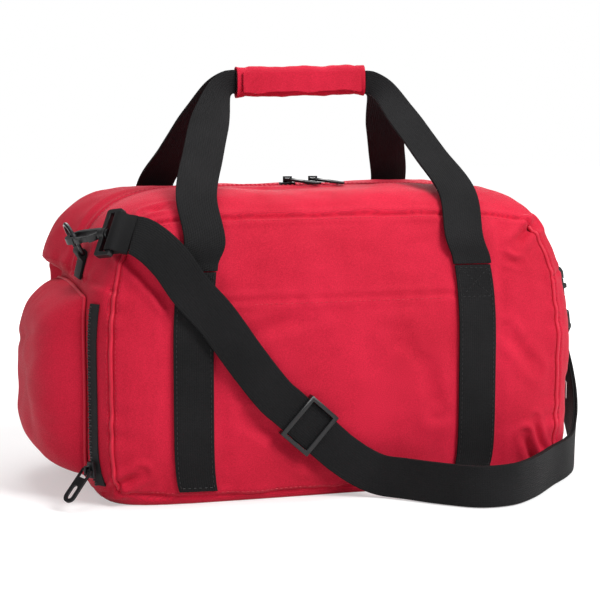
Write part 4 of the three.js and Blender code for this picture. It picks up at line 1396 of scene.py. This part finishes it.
@dataclass(frozen=True)
class Finish:
    """One finish: colours, gloss, weave and wear."""

    name: str
    dark: tuple[int, int, int]
    light: tuple[int, int, int]
    roughness: float = 0.6
    spread: float = 0.12
    metallic: float = 0.0
    specular: float = 0.4
    sheen: float = 0.0
    warp: float = 0.0
    weft: float = 0.0
    depth: float = 0.0
    clouds: float = 14.0
    specks: float = 900.0
    grain: float = 0.02
    gap_shade: float = 0.0

    def material(self, groups: dict[str, bpy.types.NodeTree]) -> bpy.types.Material:
        """Builds the finish's material.

        Args:
            groups: the shared node groups by name.

        Returns:
            The material.
        """
        made = bpy.data.materials.new(self.name)
        made.use_nodes = True
        made.node_tree.nodes.clear()
        g = Graph(made.node_tree)
        out = g.add("ShaderNodeOutputMaterial")
        wear = g.add("ShaderNodeGroup", node_tree=groups["wear"])
        wear.inputs["Clouds"].default_value, wear.inputs["Specks"].default_value = self.clouds, self.specks
        soft = g.add("ShaderNodeMapRange", {0: wear.outputs["Clouds"], 1: 0.32, 2: 0.68}).outputs[0]
        fine = g.add("ShaderNodeMapRange", {0: wear.outputs["Specks"], 1: 0.3, 2: 0.7}).outputs[0]
        share = g.math("ADD", g.math("MULTIPLY", soft, 0.45), g.math("MULTIPLY", fine, 0.55))
        colour = g.mix(share, srgb(*self.dark), srgb(*self.light))
        height = g.math("MULTIPLY", wear.outputs["Specks"], self.grain)
        if self.warp:
            weave = g.add("ShaderNodeGroup", node_tree=groups["weave"])
            weave.inputs["Warp"].default_value, weave.inputs["Weft"].default_value = self.warp, self.weft
            shade = g.math("MULTIPLY", weave.outputs["Gap"], self.gap_shade)
            colour = g.mix(shade, colour, srgb(*(int(v * 0.35) for v in self.dark)))
            height = g.math("ADD", height, g.math("MULTIPLY", weave.outputs["Height"], self.depth))
        half = self.spread / 2
        rough = g.add("ShaderNodeMapRange", {0: share, 3: self.roughness + half, 4: self.roughness - half})
        bump = g.add("ShaderNodeBump", {"Height": height, "Distance": 0.001, "Strength": 0.8})
        shader = g.add("ShaderNodeBsdfPrincipled", {
            "Base Color": colour, "Roughness": rough.outputs[0], "Metallic": self.metallic,
            "Specular IOR Level": self.specular, "Sheen Weight": self.sheen, "Sheen Roughness": 0.45,
            "Normal": bump.outputs[0]})
        g.tree.links.new(shader.outputs[0], out.inputs[0])
        return made


FINISHES = {
    "cloth": Finish("red_polyester", (188, 8, 40), (238, 28, 68), 0.68, 0.14, specular=0.22, sheen=0.06,
                    warp=1.0, weft=0.9, depth=0.3, clouds=11, specks=1000, gap_shade=0.34),
    "piping": Finish("red_piping", (176, 8, 38), (218, 24, 60), 0.55, 0.12,
                     specular=0.35, sheen=0.1, clouds=30, specks=1500, grain=0.12),
    "thread": Finish("red_thread", (160, 10, 34), (210, 34, 62), 0.5, 0.1,
                     specular=0.4, clouds=60, specks=2500, grain=0.05),
    "webbing": Finish("black_webbing_weave", (5, 5, 6), (24, 23, 25), 0.74, 0.14, specular=0.2, sheen=0.02,
                      warp=1.5, weft=2.1, depth=0.5, clouds=18, specks=1100, gap_shade=0.55),
    "dark_thread": Finish("black_thread", (20, 20, 21), (44, 43, 45), 0.5, 0.1,
                          specular=0.4, clouds=60, specks=2500, grain=0.05),
    "tape": Finish("zip_tape_weave", (8, 8, 10), (24, 23, 26), 0.72, 0.1,
                   specular=0.3, clouds=30, specks=1700, grain=0.2),
    "coil": Finish("zip_teeth_nylon", (12, 12, 14), (32, 32, 34), 0.36, 0.12,
                   specular=0.5, clouds=60, specks=1200, grain=0.04),
    "metal": Finish("black_coated_metal", (18, 18, 20), (40, 40, 43), 0.34, 0.16, metallic=0.6,
                    specular=0.5, clouds=90, specks=700, grain=0.05),
    "plastic": Finish("moulded_black_plastic", (10, 10, 12), (26, 26, 28), 0.4, 0.14,
                      specular=0.45, clouds=60, specks=1400, grain=0.08),
    "label": Finish("label_ribbon", (196, 194, 192), (232, 230, 226), 0.6, 0.1,
                    specular=0.3, clouds=60, specks=2200, grain=0.15),
    "lining": Finish("grey_lining", (90, 90, 94), (120, 120, 124), 0.7, 0.1, clouds=20, specks=1500, grain=0.12),
    "board": Finish("base_board_sheet", (52, 52, 54), (74, 74, 76), 0.6, 0.1, clouds=12, specks=500, grain=0.05),
}


def dress(piece: bpy.types.Object, material: bpy.types.Material) -> None:
    """Gives a piece one material.

    Args:
        piece: the piece.
        material: its finish.
    """
    piece.data.materials.clear()
    piece.data.materials.append(material)


# ---------------------------------------------------------------- studio


@dataclass
class Studio:
    """Pale floor, white surroundings, soft lamps and the camera."""

    azimuth: float = -16.0
    elevation: float = 7.0
    distance: float = 1.6
    target: tuple[float, float, float] = (0.0, 0.0, 0.170)
    lens: float = 96.0

    def floor(self) -> None:
        """Lays the floor."""
        deselect()
        bpy.ops.mesh.primitive_plane_add(size=14, location=(0, 0, 0))
        floor = bpy.context.active_object
        floor.name = "studio_floor"
        made = bpy.data.materials.new("pale_floor")
        made.use_nodes = True
        made.node_tree.nodes.clear()
        g = Graph(made.node_tree)
        out = g.add("ShaderNodeOutputMaterial")
        diffuse = g.add("ShaderNodeBsdfDiffuse", {0: (0.62, 0.62, 0.62, 1)})
        place = g.add("ShaderNodeTexCoord").outputs["Object"]
        away = g.add("ShaderNodeVectorMath", {0: place}, operation="LENGTH").outputs["Value"]
        strength = g.add("ShaderNodeMapRange", {0: away, 1: 0.35, 2: 1.6, 3: 0.42, 4: 0.86}).outputs[0]
        glow = g.add("ShaderNodeEmission", {0: (1, 1, 1, 1), 1: strength})
        seen = g.add("ShaderNodeLightPath")
        rays = g.math("MAXIMUM", g.math("MAXIMUM", seen.outputs["Is Camera Ray"], seen.outputs["Is Glossy Ray"]),
                      seen.outputs["Is Transmission Ray"])
        dark = g.add("ShaderNodeEmission", {0: (0, 0, 0, 1), 1: 0.0})
        pick = g.add("ShaderNodeMixShader", {0: rays, 1: dark.outputs[0], 2: glow.outputs[0]})
        both = g.add("ShaderNodeAddShader", {0: diffuse.outputs[0], 1: pick.outputs[0]})
        g.tree.links.new(both.outputs[0], out.inputs[0])
        dress(floor, made)

    def world(self) -> None:
        """Makes the surroundings white to the eye and gentle as light."""
        world = bpy.data.worlds.new("studio")
        bpy.context.scene.world = world
        world.use_nodes = True
        world.node_tree.nodes.clear()
        g = Graph(world.node_tree)
        seen = g.add("ShaderNodeLightPath")
        rays = g.math("MAXIMUM", seen.outputs["Is Camera Ray"], seen.outputs["Is Transmission Ray"])
        strength = g.math("ADD", g.math("MULTIPLY", rays, 0.72), 0.28)
        back = g.add("ShaderNodeBackground", {0: (1, 1, 1, 1), 1: strength})
        out = g.add("ShaderNodeOutputWorld")
        g.tree.links.new(back.outputs[0], out.inputs[0])

    def lamp(self, name: str, place: Sequence[float], size: float, power: float) -> None:
        """Hangs a soft square lamp that faces the bag.

        Args:
            name: the lamp's name.
            place: where it hangs, in metres.
            size: its side, in metres.
            power: its power, in watts.
        """
        data = bpy.data.lights.new(name, "AREA")
        data.size, data.energy = size, power
        lamp = bpy.data.objects.new(name, data)
        lamp.location = place
        lamp.rotation_euler = (Vector(self.target) - Vector(place)).to_track_quat("-Z", "Y").to_euler()
        bpy.context.scene.collection.objects.link(lamp)

    def camera(self) -> None:
        """Sets the camera up."""
        a, e = math.radians(self.azimuth), math.radians(self.elevation)
        back = Vector((math.sin(a) * math.cos(e), -math.cos(a) * math.cos(e), math.sin(e)))
        data = bpy.data.cameras.new("camera")
        data.lens, data.sensor_width = self.lens, 36.0
        camera = bpy.data.objects.new("camera", data)
        camera.location = Vector(self.target) + back * self.distance
        camera.rotation_euler = back.to_track_quat("Z", "Y").to_euler()
        bpy.context.scene.collection.objects.link(camera)
        bpy.context.scene.camera = camera

    def build(self) -> None:
        """Sets up the whole studio."""
        self.floor()
        self.world()
        self.lamp("key", (1.3, -1.9, 2.1), 1.3, 88)
        self.lamp("fill", (-2.2, -1.4, 1.2), 1.8, 12)
        self.lamp("top", (0.0, 0.3, 2.4), 1.6, 30)
        self.lamp("back", (0.8, 2.3, 1.4), 1.6, 20)
        self.camera()
        bpy.context.scene.view_settings.view_transform = "Standard"


def main() -> None:
    """Builds the studio, then each sub-assembly in order, and dresses them."""
    logging.basicConfig(level=logging.INFO, format="%(name)s: %(message)s")
    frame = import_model()
    Studio().build()
    made: dict[str, list[bpy.types.Object]] = {}
    shell = ClothShell()
    for part in (shell.build(), ShoePocket().build(), Handles().build(shell), ShoulderStrap().build(), Zips().build(),
                 Hardware(nodes=frame["nodes"]).build()):
        for finish, pieces in part.items():
            made.setdefault(finish, []).extend(pieces)
    groups = {"weave": weave_group(), "wear": dust_group()}
    materials = {word: finish.material(groups) for word, finish in FINISHES.items()}
    for finish, pieces in made.items():
        for piece in pieces:
            dress(piece, materials[finish])
            log.info("%s is finished in %s", piece.name, finish)
    inner = {"shoe_divider": "lining", "base_board": "board"}
    for name, node in frame["nodes"].items():
        dress(node, materials[inner.get(name, "plastic")])


if __name__ == "__main__":
    main()
